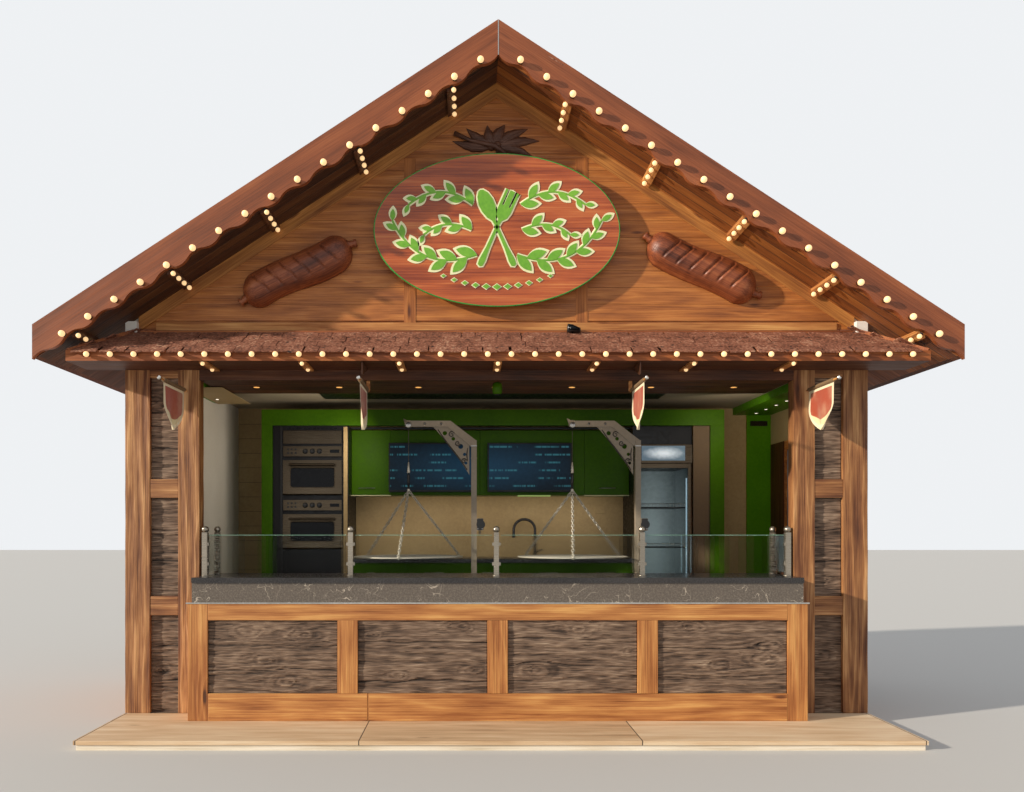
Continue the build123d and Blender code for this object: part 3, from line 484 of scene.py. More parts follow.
def glazing(name, tint):
    """Clear glass with a faint tint."""
    made, tree, shader = finish(name, 0.02, colour=tint)
    fill(shader, "Transmission Weight", 1.0)
    fill(shader, "IOR", 1.12)
    fill(shader, "Alpha", 0.3)
    return made


def lamp(name, colour, strength):
    """A lit surface."""
    made, tree, shader = finish(name, 0.4, colour=colour)
    fill(shader, "Emission Color", rgb(colour))
    fill(shader, "Emission Strength", strength)
    return made


def lit_panel(name, centre, reach, bright, dim, rows=None):
    """A lamp behind a frosted panel, brightest along its middle; rows adds broken glowing lines."""
    made, tree, shader = finish(name, 0.35)
    place = value_of(tree, "ShaderNodeTexCoord", take="Object")
    away = vector(tree, "SUBTRACT", place, centre)
    away = vector(tree, "DIVIDE", away, reach)
    far = vector(tree, "LENGTH", away)
    streak = clouds(tree, place, 30.0, 2.0)
    far = far + (streak - 0.5) * 0.3
    colour = ramp(tree, far, [(0.1, bright), (0.9, dim)])
    if rows:
        start, pitch, glow = rows
        axes = axes_of(tree, place)
        turns = (axes[2] - start) / pitch
        band = calc(tree, "ABSOLUTE", calc(tree, "FRACT", turns) - 0.5)
        row = calc(tree, "FLOOR", turns) * 7.7
        fine = xyz(tree, axes[0] * 55.0, row)
        wide = xyz(tree, axes[0] * 4.5, row)
        dashes = spread(tree, clouds(tree, fine, 1.0, 2.0), 0.44, 0.5)
        lengths = spread(tree, clouds(tree, wide, 1.0, 0.0), 0.47, 0.53)
        line = spread(tree, band, 0.06, 0.16, 0.5, 0.0) * dashes * lengths
        colour = mix(tree, line, colour, glow)
    fill(shader, "Base Color", colour)
    fill(shader, "Emission Color", colour)
    fill(shader, "Emission Strength", 0.55)
    fill(shader, "Specular IOR Level", 0.15)
    return made


# %% The hut's other finishes
granite = stone("granite")
slab_stone = mottled("slab_stone", "232122", "3b3837", 0.25, grain=(90, 90, 90), relief=0.05)
steel = mottled("steel", "8f8d89", "c9c6c0", 0.32, 1.0, grain=(6, 6, 240), relief=0.15)
panel_green = mottled("panel_green", "47800c", "5a9512", 0.4, relief=0.05, shine=0.12)
shaded_beige = mottled("shaded_beige", "5e4d3a", "715e47", 0.6, relief=0.1, shine=0.3)
oven_steel = mottled("oven_steel", "4b4033", "6b5e4d", 0.32, 1.0, grain=(4, 4, 260), relief=0.12)
satin_steel = mottled("satin_steel", "8f8678", "b3a999", 0.3, 0.85, grain=(6, 6, 240), relief=0.1)
glass_edge = mottled("glass_edge", "6f9a86", "93b8a4", 0.3)
bright_steel = mottled("bright_steel", "bdbab4", "e6e3dd", 0.16, 1.0, relief=0.05, spreading=0.06)
wire = mottled("wire", "bdb6a6", "e2dccd", 0.45, 0.4, grain=(200, 200, 200), relief=0.3)
dark_taupe = mottled("dark_taupe", "3a332b", "4d443a", 0.5, relief=0.2)
taupe = mottled("taupe_enamel", "8b7d6a", "a59783", 0.42, 0.0, relief=0.2)
black_enamel = mottled("black_enamel", "0e0e0f", "232324", 0.4, relief=0.2)
grass_lacquer = mottled("grass_lacquer", "325703", "446c05", 0.4, relief=0.05, shine=0.12)
beige_panel = mottled("beige_panel", "a48a60", "bfa67a", 0.6, relief=0.1, shine=0.3)
roller_cloth = mottled("roller_cloth", "6b543c", "8d7250", 0.8, grain=(300, 300, 300), relief=0.3)
rope_wire = mottled("rope_wire", "3a332b", "5a5146", 0.5, 0.3, grain=(500, 500, 900), relief=0.6)
white_panel = mottled("white_panel", "d6d0c4", "e8e3d9", 0.5, relief=0.08)
beam_white = mottled("beam_white", "ece8df", "f7f4ee", 0.6, relief=0.1)
ceiling_panel = mottled("ceiling_panel", "9d917e", "b3a792", 0.7, relief=0.1)
screen_face = lit_panel(
    "screen_face", (-0.1, 0.9, 2.18), (1.1, 9.0, 0.33), "17354a", "08151f", (1.95, 0.078, "3f8492")
)
dark_case = mottled("dark_case", "121113", "1f1e20", 0.4, relief=0.08, shine=0.3)
door_paint = mottled("door_paint", "66747f", "7b8994", 0.45, relief=0.15)
clear_glass = glazing("clear_glass", "e9f4ee")
# The liner glows, brightest in its middle: painted light from the cabinet's lamps on a liner that is no lamp
# itself.
cold_liner_painted_glow = lit_panel("cold_liner_painted_glow", (1.68, 1.3, 1.55), (0.4, 1.0, 1.3), "808c8e", "20292c")
head_glow = lit_panel("head_glow", (1.68, 0.8, 2.3), (0.24, 9.0, 0.075), "dfeaf2", "5f7280")
oven_glass = mottled("oven_glass", "060708", "101115", 0.15, shine=0.15)
bulb_glow = lamp("bulb_glow", "ffd49b", 0.75)
spot_glow = lamp("spot_glow", "ffb765", 0.9)
strip_glow = lamp("strip_glow", "a9c46a", 0.3)
white_glow = lamp("white_glow", "fff1dc", 1.6)
cool_glow = lamp("cool_glow", "a9c6d6", 0.55)
sign_wood = wood(
    "sign_wood", ("52180b", "873817", "b55828", "d07e42"), "X", rough=0.18, relief=0.1, scale=0.7, knots=0.1
)
carved_wood = wood(
    "carved_wood", ("2b1009", "5f2c17", "8a4726", "a9633a"), "X", tilt=-0.48, fold=True, rough=0.5, relief=0.8
)
sprig_wood = wood("sprig_wood", ("1d0e09", "3d2114", "563322", "6d4630"), "X", rough=0.6)
rim_green = mottled("rim_green", "1f7a2c", "3f9f3c", 0.35)
leaf_green = mottled("leaf_green", "5c9a22", "7fbb3a", 0.4, relief=0.05)
cream_paint = mottled("cream_paint", "e8e6b0", "f4f2c8", 0.45, relief=0.05)
print("finishes", len(bpy.data.materials))

# %% [markdown]
# ## A maker's bench
# A few helpers build every hand-made piece: a block with softened edges, a plate cut from an
# outline, a bar along a path and a turned shape. Each finished piece is one mesh that lies at the
# origin with its place in its vertices, and it is told which body it moves with.


# %% Mesh helpers
def edges_of(verts):
    """Each edge at these corners, once."""
    return list(dict.fromkeys(e for v in verts for e in v.link_edges))


def block(bm, low, high, surface=0, soft=0.0):
    """A straight board or block between two corners, its edges softened where asked."""
    low, high = Vector(low), Vector(high)
    made = bmesh.ops.create_cube(bm, size=1.0)["verts"]
    for v in made:
        v.co = Vector((low[i] + (v.co[i] + 0.5) * (high[i] - low[i]) for i in range(3)))
    faces = {f for v in made for f in v.link_faces}
    for f in faces:
        f.material_index = surface
    if soft:
        bmesh.ops.bevel(
            bm, geom=edges_of(made), offset=soft, segments=2, profile=0.7, affect="EDGES", material=-1
        )
    return made


def plate(bm, outline, depth, thickness, surface=0):
    """A flat plate that faces the front, from its outline in X and Z."""
    ring = [bm.verts.new((x, depth, z)) for x, z in outline]
    back = [bm.verts.new((x, depth + thickness, z)) for x, z in outline]
    made = [bm.faces.new(ring), bm.faces.new(back[::-1])]
    for i in range(len(ring)):
        j = (i + 1) % len(ring)
        made.append(bm.faces.new((ring[j], ring[i], back[i], back[j])))
    for f in made:
        f.material_index = surface
    return made


def skin(bm, rings, surface=0, closed=False):
    """Faces between rings of points, with a cap at both ends unless the rings close up."""
    for a, b in list(zip(rings, rings[1:])) + ([(rings[-1], rings[0])] if closed else []):
        for k in range(len(a)):
            j = (k + 1) % len(a)
            bm.faces.new((a[k], a[j], b[j], b[k])).material_index = surface
    if not closed:
        bm.faces.new(rings[0][::-1]).material_index = surface
        bm.faces.new(rings[-1]).material_index = surface


def bar(bm, points, radius, sides=8, surface=0, closed=False):
    """A round bar along a path; radius may be one number or one for each point."""
    points = [Vector(p) for p in points]
    radii = radius if isinstance(radius, (list, tuple)) else [radius] * len(points)
    rings = []
    side = None
    for i, point in enumerate(points):
        before = points[i - 1] if i or closed else point
        after = points[(i + 1) % len(points)] if i + 1 < len(points) or closed else point
        way = (after - before).normalized()
        if side is None:
            side = way.orthogonal().normalized()
        side = (side - way * side.dot(way)).normalized()
        up = way.cross(side)
        turn = [2 * pi * k / sides for k in range(sides)]
        rings.append([bm.verts.new(point + radii[i] * (cos(t) * side + sin(t) * up)) for t in turn])
    skin(bm, rings, surface, closed)


def turned(bm, profile, centre, axis="Z", sides=16, surface=0):
    """A turned shape: profile is (radius, height) pairs along an axis through centre."""
    order = {"Z": (0, 1, 2), "Y": (2, 0, 1), "X": (1, 2, 0)}[axis]
    rings = []
    for radius, height in profile:
        ring = []
        for k in range(sides):
            t = 2 * pi * k / sides
            local = (radius * cos(t), radius * sin(t), height)
            spot = Vector(centre)
            for i in range(3):
                spot[order[i]] += local[i]
            ring.append(bm.verts.new(spot))
        rings.append(ring)
    skin(bm, rings, surface)


def as_mesh(name, bm, made=None, outwards=True):
    """What was built as a mesh, with its faces turned outwards and one finish where given."""
    if outwards:
        bmesh.ops.recalc_face_normals(bm, faces=bm.faces)
    mesh = bpy.data.meshes.new(name)
    bm.to_mesh(mesh)
    bm.free()
    if made:
        mesh.materials.append(made)
    return mesh


def piece(name, bm, finishes, body, stands_for=(), smooth=False):
    """Turn what was built into a named piece that rides on its body."""
    bmesh.ops.remove_doubles(bm, verts=bm.verts, dist=1e-6)
    for f in bm.faces:
        f.smooth = smooth
    return place_piece(name, as_mesh(name, bm), finishes, body, stands_for)


def place_piece(name, mesh, finishes, body, stands_for=()):
    """Name a mesh, give it its finishes and set it on its body, if it keeps to one."""
    for each in finishes:
        mesh.materials.append(each)
    made = bpy.data.objects.new(name, mesh)
    show(made)
    if body:
        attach(made, body)
    if stands_for:
        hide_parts(*stands_for)
    print(f"{name}: {sum(len(p.vertices) - 2 for p in mesh.polygons)} triangles")
    return made


def dress(name, made):
    """Give a carried-over solid its finish."""
    slots = nodes[name].data.materials
    slots.clear()
    slots.append(made)


def y_at(depth):
    """Y of a plane this far behind the front of the posts."""
    return FRONT + depth


def roof_z(x, painted_shade_below=0.0):
    """Height of the roof's top at x, less a distance square to the slope."""
    return RIDGE - painted_shade_below / cos(PITCH) - tan(PITCH) * abs(x)


# %% [markdown]
# ## Finishes on the plain solids
# A solid whose shape is already right only needs its finish. The slopes share one folded pattern,
# so that the grain runs down both sides of the roof.

# %% Dress the plain solids
for made, names in (
    (floor_wood, "floor"),
    (deck_wood, "platform_deck"),
    (white_batten, "platform_bearers"),
    (side_wood, "left_wall right_wall_front right_wall_rear right_wall_head"),
    (gable_wood, "back_wall front_gable"),
    (door_paint, "side_door"),
    (soffit_wood, "left_soffit"),
    (sunny_soffit_wood, "right_soffit"),
    (head_wood, "rafters lintel left_roof right_roof canopy_roof"),
    (fascia_wood, "eave_boards canopy_frame"),
    (left_barge_wood, "left_barge"),
    (right_barge_wood, "right_barge"),
    (back_barge_wood, "back_barges"),
    (ceiling_panel, "ceiling"),
    (panel_green, "ceiling_boxes"),
    (white_panel, "left_lining eave_beams"),
    (granite, "counter_stone"),
    (slab_stone, "counter_slab worktop"),
    (beige_panel, "counter_back"),
    (satin_steel, "guard_posts"),
    (clear_glass, "guard_glass"),
    (deep_wood, "pennant_rods"),
    (taupe, "crane_posts left_crane_arm right_crane_arm"),
    (dark_taupe, "left_hoist_wire right_hoist_wire"),
    (grass_lacquer, "portal_frame wall_cabinets base_cabinets"),
    (dark_case, "oven_housing fridge_body fridge_door"),
    (oven_steel, "lower_oven_door upper_oven_door"),
    (screen_face, "screens"),
    (rake_wood, "gable_trim"),
    (post_wood, "flank_posts"),
    (flank_rail_wood, "flank_rails"),
    (rough_wood, "flank_panels counter_panels"),
    (rail_wood, "counter_frame"),
    (sign_wood, "sign_board"),
    (carved_wood, "gable_carvings"),
    (cream_paint, "pennants"),
    (wire, "left_hook left_grill right_hook right_grill"),
):
    for name in names.split():
        dress(name, made)

# %% [markdown]
# ## Trees that repeat things
# A hut like this is mostly one thing many times over: boards, shakes, bulbs, links. Copies made
# with an Array are all alike, and a loop that writes vertices is slow to change. A Geometry Nodes
# tree with named sizes makes each kind once, and its evaluated result becomes a plain mesh.


# %% Start and grow a tree
KINDS = {float: "NodeSocketFloat", int: "NodeSocketInt", tuple: "NodeSocketVector", str: "NodeSocketMaterial"}


def new_tree(name, **sizes):
    """A tree with named inputs and their first values; a text value asks for a material."""
    tree = bpy.data.node_groups.new(name, "GeometryNodeTree")
    tree.interface.new_socket("Geometry", in_out="OUTPUT", socket_type="NodeSocketGeometry")
    for label, value in sizes.items():
        socket = tree.interface.new_socket(label, in_out="INPUT", socket_type=KINDS[type(value)])
        if not isinstance(value, str):
            socket.default_value = value
    return tree, outputs_of(tree, "NodeGroupInput")


def close_tree(tree, shape):
    """End a tree in Realize Instances."""
    real = geo(tree, "RealizeInstances", {0: shape})
    node(tree, "NodeGroupOutput", {0: real})


def join(tree, *shapes):
    """Join Geometry, whose one input takes every shape."""
    made = node(tree, "GeometryNodeJoinGeometry")
    for shape in shapes:
        fill(made, 0, shape)
    return Value(made.outputs[0])


def coated(tree, shape, finish_socket, smooth=False):
    """Set Material, with smooth shading where asked."""
    shape = geo(tree, "SetMaterial", {"Geometry": shape, "Material": finish_socket})
    if smooth:
        shape = geo(tree, "SetShadeSmooth", {"Geometry": shape})
    return shape


def grow(tree, **values):
    """Evaluate a tree with these inputs and return the result as a plain mesh."""
    seed = bpy.data.objects.new("seed", bpy.data.meshes.new("seed"))
    show(seed)
    maker = seed.modifiers.new("grow", "NODES")
    maker.node_group = tree
    for item in tree.interface.items_tree:
        if item.in_out == "INPUT" and item.name in values:
            maker[item.identifier] = values[item.name]
    graph = bpy.context.evaluated_depsgraph_get()
    mesh = bpy.data.meshes.new_from_object(seed.evaluated_get(graph))
    bpy.data.objects.remove(seed)
    return mesh


def gather(meshes):
    """Join meshes into one and keep each face's finish."""
    bm = bmesh.new()
    finishes = []
    for mesh in meshes:
        start = len(bm.faces)
        bm.from_mesh(mesh)
        for each in mesh.materials:
            if each not in finishes:
                finishes.append(each)
        table = [finishes.index(each) for each in mesh.materials]
        bm.faces.ensure_lookup_table()
        for f in bm.faces[start:]:
            f.material_index = table[f.material_index]
    joined = bpy.data.meshes.new("gathered")
    bm.to_mesh(joined)
    bm.free()
    for each in finishes:
        joined.materials.append(each)
    return joined


# %% [markdown]
# ## Shakes on the roof and the canopy
# The roof and the small canopy are covered in split wooden shakes, laid in rows that overlap. A
# displaced plane would give no edges to catch the light, so each shake is a thin slab of its own.
# The tree spreads points over a slope between four corners, gives each a slab with a random
# width, length and lift, and roughens it. The boards under them are cut lower by the shakes' height,
# so that the roof stays as high as the joinery says.

# %% The shake tree
shake_tree, given = new_tree(
    "shakes", FootA=(0.0, 0.0, 0.0), FootB=(1.0, 0.0, 0.0), TopA=(0.0, 1.0, 0.0), TopB=(1.0, 1.0, 0.0),
    Rows=3, Columns=10, Thickness=0.011, Lift=0.05, Lap=1.45, Rough=0.004, Seed=1, Finish="",
)
t = shake_tree
count = given["Rows"] * given["Columns"]
number = geo(t, "InputIndex")
row = calc(t, "FLOOR", number / given["Columns"])
column = number - row * given["Columns"]


def luck_of(tree, low, high, seed_shift):
    """A random number for each point."""
    seed = given["Seed"] + seed_shift
    links = {2: low, 3: high, "Seed": seed}
    return value_of(tree, "FunctionNodeRandomValue", links, take=1, data_type="FLOAT")


across = column + 0.5 + luck_of(t, -0.18, 0.18, 1)
across = across + (calc(t, "MODULO", row, 2.0) - 0.5) * 0.3
across = calc(t, "DIVIDE", across, given["Columns"], clamp=True)
upward = (row + 0.62 + luck_of(t, -0.07, 0.07, 2)) / given["Rows"]


def between(tree, a, b, share):
    """The point at a share of the way from one point to another."""
    return value_of(tree, "ShaderNodeMix", {0: share, 4: a, 5: b}, data_type="VECTOR", take=1)


foot = between(t, given["FootA"], given["FootB"], across)
top = between(t, given["TopA"], given["TopB"], across)
spot = between(t, foot, top, upward)
row_a = between(t, given["FootA"], given["TopA"], upward)
row_b = between(t, given["FootB"], given["TopB"], upward)
wide = vector(t, "DISTANCE", row_a, row_b) / given["Columns"]
wide = wide * luck_of(t, 0.95, 1.03, 3)
long = vector(t, "DISTANCE", given["FootA"], given["TopA"]) / given["Rows"]
long = long * given["Lap"] * luck_of(t, 0.94, 1.04, 4)
thick = given["Thickness"] * luck_of(t, 0.75, 1.15, 5)
size = xyz(t, wide, long, thick)
sideways = vector(t, "SUBTRACT", given["FootB"], given["FootA"])
uphill = vector(t, "SUBTRACT", given["TopA"], given["FootA"])
normal = vector(t, "CROSS_PRODUCT", sideways, uphill)
turn = value_of(
    t, "FunctionNodeAxesToRotation", {0: normal, 1: sideways}, primary_axis="Z", secondary_axis="X"
)
lifted = xyz(t, given["Lift"] * -1.0, z=luck_of(t, -0.02, 0.02, 6))
lifted = value_of(t, "FunctionNodeEulerToRotation", {0: lifted})
turn = value_of(t, "FunctionNodeRotateRotation", {0: turn, 1: lifted}, rotation_space="LOCAL")
points = geo(t, "Points", {"Count": count, "Position": spot})
slab = geo(t, "MeshCube", {"Size": (1, 1, 1), "Vertices X": 4, "Vertices Y": 4, "Vertices Z": 2})
laid = geo(t, "InstanceOnPoints", {"Points": points, "Instance": slab, "Rotation": turn, "Scale": size})
laid = geo(t, "RealizeInstances", {0: laid})
where = geo(t, "InputPosition")
grit = value_of(t, "ShaderNodeTexNoise", {"Vector": where, "Scale": 21.0, "Detail": 2.0}, take="Color")
grit = vector(t, "SUBTRACT", grit, (0.5, 0.5, 0.5))
grit = value_of(t, "ShaderNodeVectorMath", {0: grit, "Scale": given["Rough"]}, operation="SCALE")
laid = geo(t, "SetPosition", {"Geometry": laid, "Offset": grit})
close_tree(t, coated(t, laid, given["Finish"]))
print("shake tree nodes", len(t.nodes))


# %% The shakes' finish
def weathered(name):
    """Split wood, weathered red-brown and grey, with dark chips and pale worn flecks."""
    made, tree, shader = finish(name, 0.8)
    place = place_of(tree)
    broad = clouds(tree, place, 6.0, 5.0, Roughness=0.65)
    fleck = clouds(tree, place, 58.0, 3.0)
    sized = vector(tree, "MULTIPLY", place, (16, 26, 40))
    chip = value_of(tree, "ShaderNodeTexVoronoi", {0: sized, "Scale": 1.0}, take="Distance")
    rare = clouds(tree, place, 7.0, 1.0)
    chip = spread(tree, chip, 0.16, 0.27, 1.0, 0.0) * spread(tree, rare, 0.46, 0.56)
    tone = broad * 0.45 + fleck * 0.55
    colour = ramp(tree, tone, [(0.36, "452619"), (0.46, "7b4a35"), (0.55, "956049"), (0.68, "cba083")])
    colour = mix(tree, chip, colour, "25130e")
    fill(shader, "Base Color", colour)
    height = fleck - chip
    surface_of(tree, shader, height, 0.7, 0.006)
    return made


shake_wood = weathered("shake_wood")
ROOF_START = y_at(-0.41)
ROOF_END = y_at(2.29)
SPAN = 3.495
SUNK = 0.026

# %% Roof slopes
for side, word in ((-1, "left"), (1, "right")):
    bm = bmesh.new()
    plate(
        bm,
        [
            (0, roof_z(0, SUNK)), (side * SPAN, roof_z(SPAN, SUNK)), (side * SPAN, roof_z(SPAN, 0.07)),
            (0, roof_z(0, 0.07))
        ],
        ROOF_START,
        ROOF_END - ROOF_START,
    )
    boards = as_mesh("boards", bm, head_wood)
    ends = [ROOF_END, ROOF_START] if side < 0 else [ROOF_START, ROOF_END]
    low, high = SPAN - 0.02, 0.06
    shakes = grow(
        shake_tree, Rows=17, Columns=20, Seed=5 + side, Finish=shake_wood,
        Thickness=0.009, Lift=0.03, Rough=0.003,
        FootA=(side * low, ends[0], roof_z(low, 0.02)), FootB=(side * low, ends[1], roof_z(low, 0.02)),
        TopA=(side * high, ends[0], roof_z(high, 0.022)), TopB=(side * high, ends[1], roof_z(high, 0.022)),
    )
    place_piece(f"{word}_slope", gather([boards, shakes]), (), "hut", (f"{word}_roof",))

bm = bmesh.new()
for side in (-1, 1):
    for number in range(6):
        start = ROOF_START + number * 0.45
        foot = 0.15
        outline = [
            (side * 0.001, roof_z(0, 0.002)), (side * foot, roof_z(foot, 0.002)),
            (side * foot, roof_z(foot, 0.018)), (side * 0.001, roof_z(0, 0.018)),
        ]
        plate(bm, outline, start + 0.002, 0.446)
piece("ridge_boards", bm, [shake_wood], "hut")

# %% Canopy shakes
EAVE = 2.92
TOP = 3.155
HALF = 3.3
REACH = 0.39
SHAKE_BED = 0.02
bm = bmesh.new()
bm.from_mesh(nodes["canopy_roof"].data)
bmesh.ops.remove_doubles(bm, verts=bm.verts, dist=1e-5)
for v in bm.verts:
    v.co.z -= SHAKE_BED
deck_boards = as_mesh("canopy_boards", bm, head_wood, outwards=False)
front, back, crown = y_at(-REACH), y_at(0), y_at(-0.025)
high = HALF - REACH
canopy_parts = [deck_boards]
for rows, columns, corners, seed in (
    (
        4, 62,
        ((-HALF, front, EAVE), (HALF, front, EAVE), (-high, crown, TOP - 0.012), (high, crown, TOP - 0.012)),
        3
    ),
    (
        3, 3,
        ((HALF, front, EAVE), (HALF, back, EAVE), (high, crown, TOP - 0.012), (high, back, TOP - 0.012)), 4
    ),
    (
        3, 3,
        ((-HALF, back, EAVE), (-HALF, front, EAVE), (-high, back, TOP - 0.012), (-high, crown, TOP - 0.012)),
        5
    ),
):
    canopy_parts.append(
        grow(
            shake_tree, Rows=rows, Columns=columns, Seed=seed, Finish=shake_wood,
            Thickness=0.009, Lift=0.025, Rough=0.011,
            **dict(zip(("FootA", "FootB", "TopA", "TopB"), corners)),
        )
    )
bm = bmesh.new()
for side in (-1, 1):
    bar(
        bm, [(side * (HALF - 0.012), front + 0.012, EAVE - 0.004), (side * high, crown, TOP - 0.01)], 0.024, 4
    )
hips = as_mesh("hips", bm, fascia_wood)
place_piece("canopy_shakes", gather([*canopy_parts, hips]), (), "hut", ("canopy_roof",))

# %% [markdown]
# ## Boards on the gable and the walls
# The gable is clad in brushed boards laid level, with a dark joint between them. The tree lays a
# column of equal boards, which makes a wall; on the gable the column is then cut along both
# slopes. The wall behind shows through the joints as a shadow.

# %% The board tree
board_tree, given = new_tree(
    "boards", Start=(0.0, 0.0, 0.0), Step=(0.0, 0.0, 0.135), Size=(1.0, 0.014, 0.132), Count=5, Finish=""
)
t = board_tree
column = geo(
    t, "MeshLine", {"Count": given["Count"], "Start Location": given["Start"], "Offset": given["Step"]},
    mode="OFFSET"
)
board = geo(t, "MeshCube", {"Size": (1, 1, 1)})
laid = geo(t, "InstanceOnPoints", {"Points": column, "Instance": board, "Scale": given["Size"]})
close_tree(t, coated(t, laid, given["Finish"]))

# %% Gable boards, front and back
BOARD = 0.135
pairs = []
for base, depth, joint in ((3.225, 0.013, 0.24), (2.905, 2.137, 0.2)):
    first = ceil(base / BOARD) * BOARD
    rows = ceil((roof_z(0, joint) - first) / BOARD)
    half_first = (roof_z(0, joint) - first) / tan(PITCH)
    pairs.append(
        grow(
            board_tree, Start=(0.0, y_at(depth), first + BOARD / 2), Step=(0.0, 0.0, BOARD), Count=rows,
            Size=(2 * half_first, 0.014, BOARD - 0.0022), Finish=gable_wood,
        )
    )
    bm = bmesh.new()
    bm.from_mesh(pairs[-1])
    for side in (-1, 1):
        outward = (side * sin(PITCH), 0.0, cos(PITCH))
        whole = bm.verts[:] + bm.edges[:] + bm.faces[:]
        cut = bmesh.ops.bisect_plane(
            bm, geom=whole, plane_co=(0.0, 0.0, roof_z(0, joint)), plane_no=outward, clear_outer=True
        )
        bmesh.ops.holes_fill(bm, edges=[e for e in cut["geom_cut"] if isinstance(e, bmesh.types.BMEdge)])
    bmesh.ops.recalc_face_normals(bm, faces=bm.faces)
    bm.to_mesh(pairs[-1])
    bm.free()
place_piece("gable_boards", gather(pairs), (), "hut")

# %% Side and back wall boards
walls = []
thick = 0.012


def cladding(x, y, z, made):
    """Boards over one flat stretch of wall."""
    first = ceil(z[0] / BOARD - 0.02) * BOARD
    rows = int((z[1] - first + 0.004) / BOARD)
    centre = ((x[0] + x[1]) / 2, (y[0] + y[1]) / 2, first + BOARD / 2)
    size = [x[1] - x[0], y[1] - y[0], BOARD - 0.0025]
    walls.append(
        grow(board_tree, Start=centre, Step=(0.0, 0.0, BOARD), Size=tuple(size), Count=rows, Finish=made)
    )


out = HALF_HUT
cladding((-out - thick, -out), (y_at(0.12), y_at(2.03)), (DECK, 3.07), side_wood)
cladding((out, out + thick), (y_at(0.12), y_at(0.81)), (DECK, 2.43), side_wood)
cladding((out, out + thick), (y_at(1.75), y_at(2.03)), (DECK, 2.43), side_wood)
cladding((out, out + thick), (y_at(0.12), y_at(2.03)), (2.43, 3.07), side_wood)
cladding((-out + 0.1, out - 0.1), (y_at(2.13), y_at(2.13) + thick), (DECK, 2.9), gable_wood)
place_piece("wall_boards", gather(walls), (), "hut")

# %% [markdown]
# ## Hewn posts, rails and trim
# Posts and rails are heavy softwood with edges that were never quite straight. A bevelled block
# alone looks like plastic, so each one is cut across its length many times, and its corners are
# pushed about by smooth noise, by a millimetre or two.


# %% Hewn timber
def hewn(bm, low, high, surface=0, wander=0.0022):
    """A timber with softened, slightly wandering edges."""
    low, high = Vector(low), Vector(high)
    size = high - low
    axis = max(range(3), key=lambda i: size[i])
    made = block(bm, low, high, surface)
    part = bmesh.ops.bevel(bm, geom=edges_of(made), offset=0.006, segments=2, profile=0.7, affect="EDGES")
    faces = dict.fromkeys([*part["faces"], *(f for v in part["verts"] for f in v.link_faces)])
    verts = dict.fromkeys(v for f in faces for v in f.verts)
    rails = [e for e in edges_of(verts) if abs((e.verts[0].co - e.verts[1].co)[axis]) > size[axis] * 0.8]
    cuts = max(2, int(size[axis] / 0.12))
    split = bmesh.ops.subdivide_edges(bm, edges=rails, cuts=cuts, use_grid_fill=True)
    verts.update(dict.fromkeys(g for g in split["geom_split"] if isinstance(g, bmesh.types.BMVert)))
    for v in verts:
        if not v.is_valid:
            continue
        spot = v.co * 5.0
        inside = (v.co[axis] - low[axis] > 0.01) and (high[axis] - v.co[axis] > 0.01)
        if inside:
            push = noise.noise_vector(spot) * wander
            push[axis] = 0.0
            v.co += push
            for i in range(3):
                v.co[i] = min(max(v.co[i], low[i]), high[i])
    for f in {f for v in verts if v.is_valid for f in v.link_faces}:
        f.material_index = surface


OUTER, PANEL, INNER = 0.2, 0.228, 0.172
LIMIT = 2.4
bm = bmesh.new()
for side in (-1, 1):
    for low, high in ((HALF_HUT - OUTER, HALF_HUT), (LIMIT, LIMIT + INNER)):
        x = sorted((side * low, side * high))
        hewn(bm, (x[0], y_at(0), DECK), (x[1], y_at(0.12), 2.9))
piece("hewn_posts", bm, [post_wood], "hut", ("flank_posts",))

RAILS = ((0.86, 1.015), (1.81, 1.96), (2.78, 2.9))
bm = bmesh.new()
for side in (-1, 1):
    x = sorted((side * (LIMIT + INNER), side * (LIMIT + INNER + PANEL)))
    for low, high in RAILS:
        hewn(bm, (x[0], y_at(0.004), low), (x[1], y_at(0.07), high))
piece("hewn_rails", bm, [flank_rail_wood], "hut", ("flank_rails",))

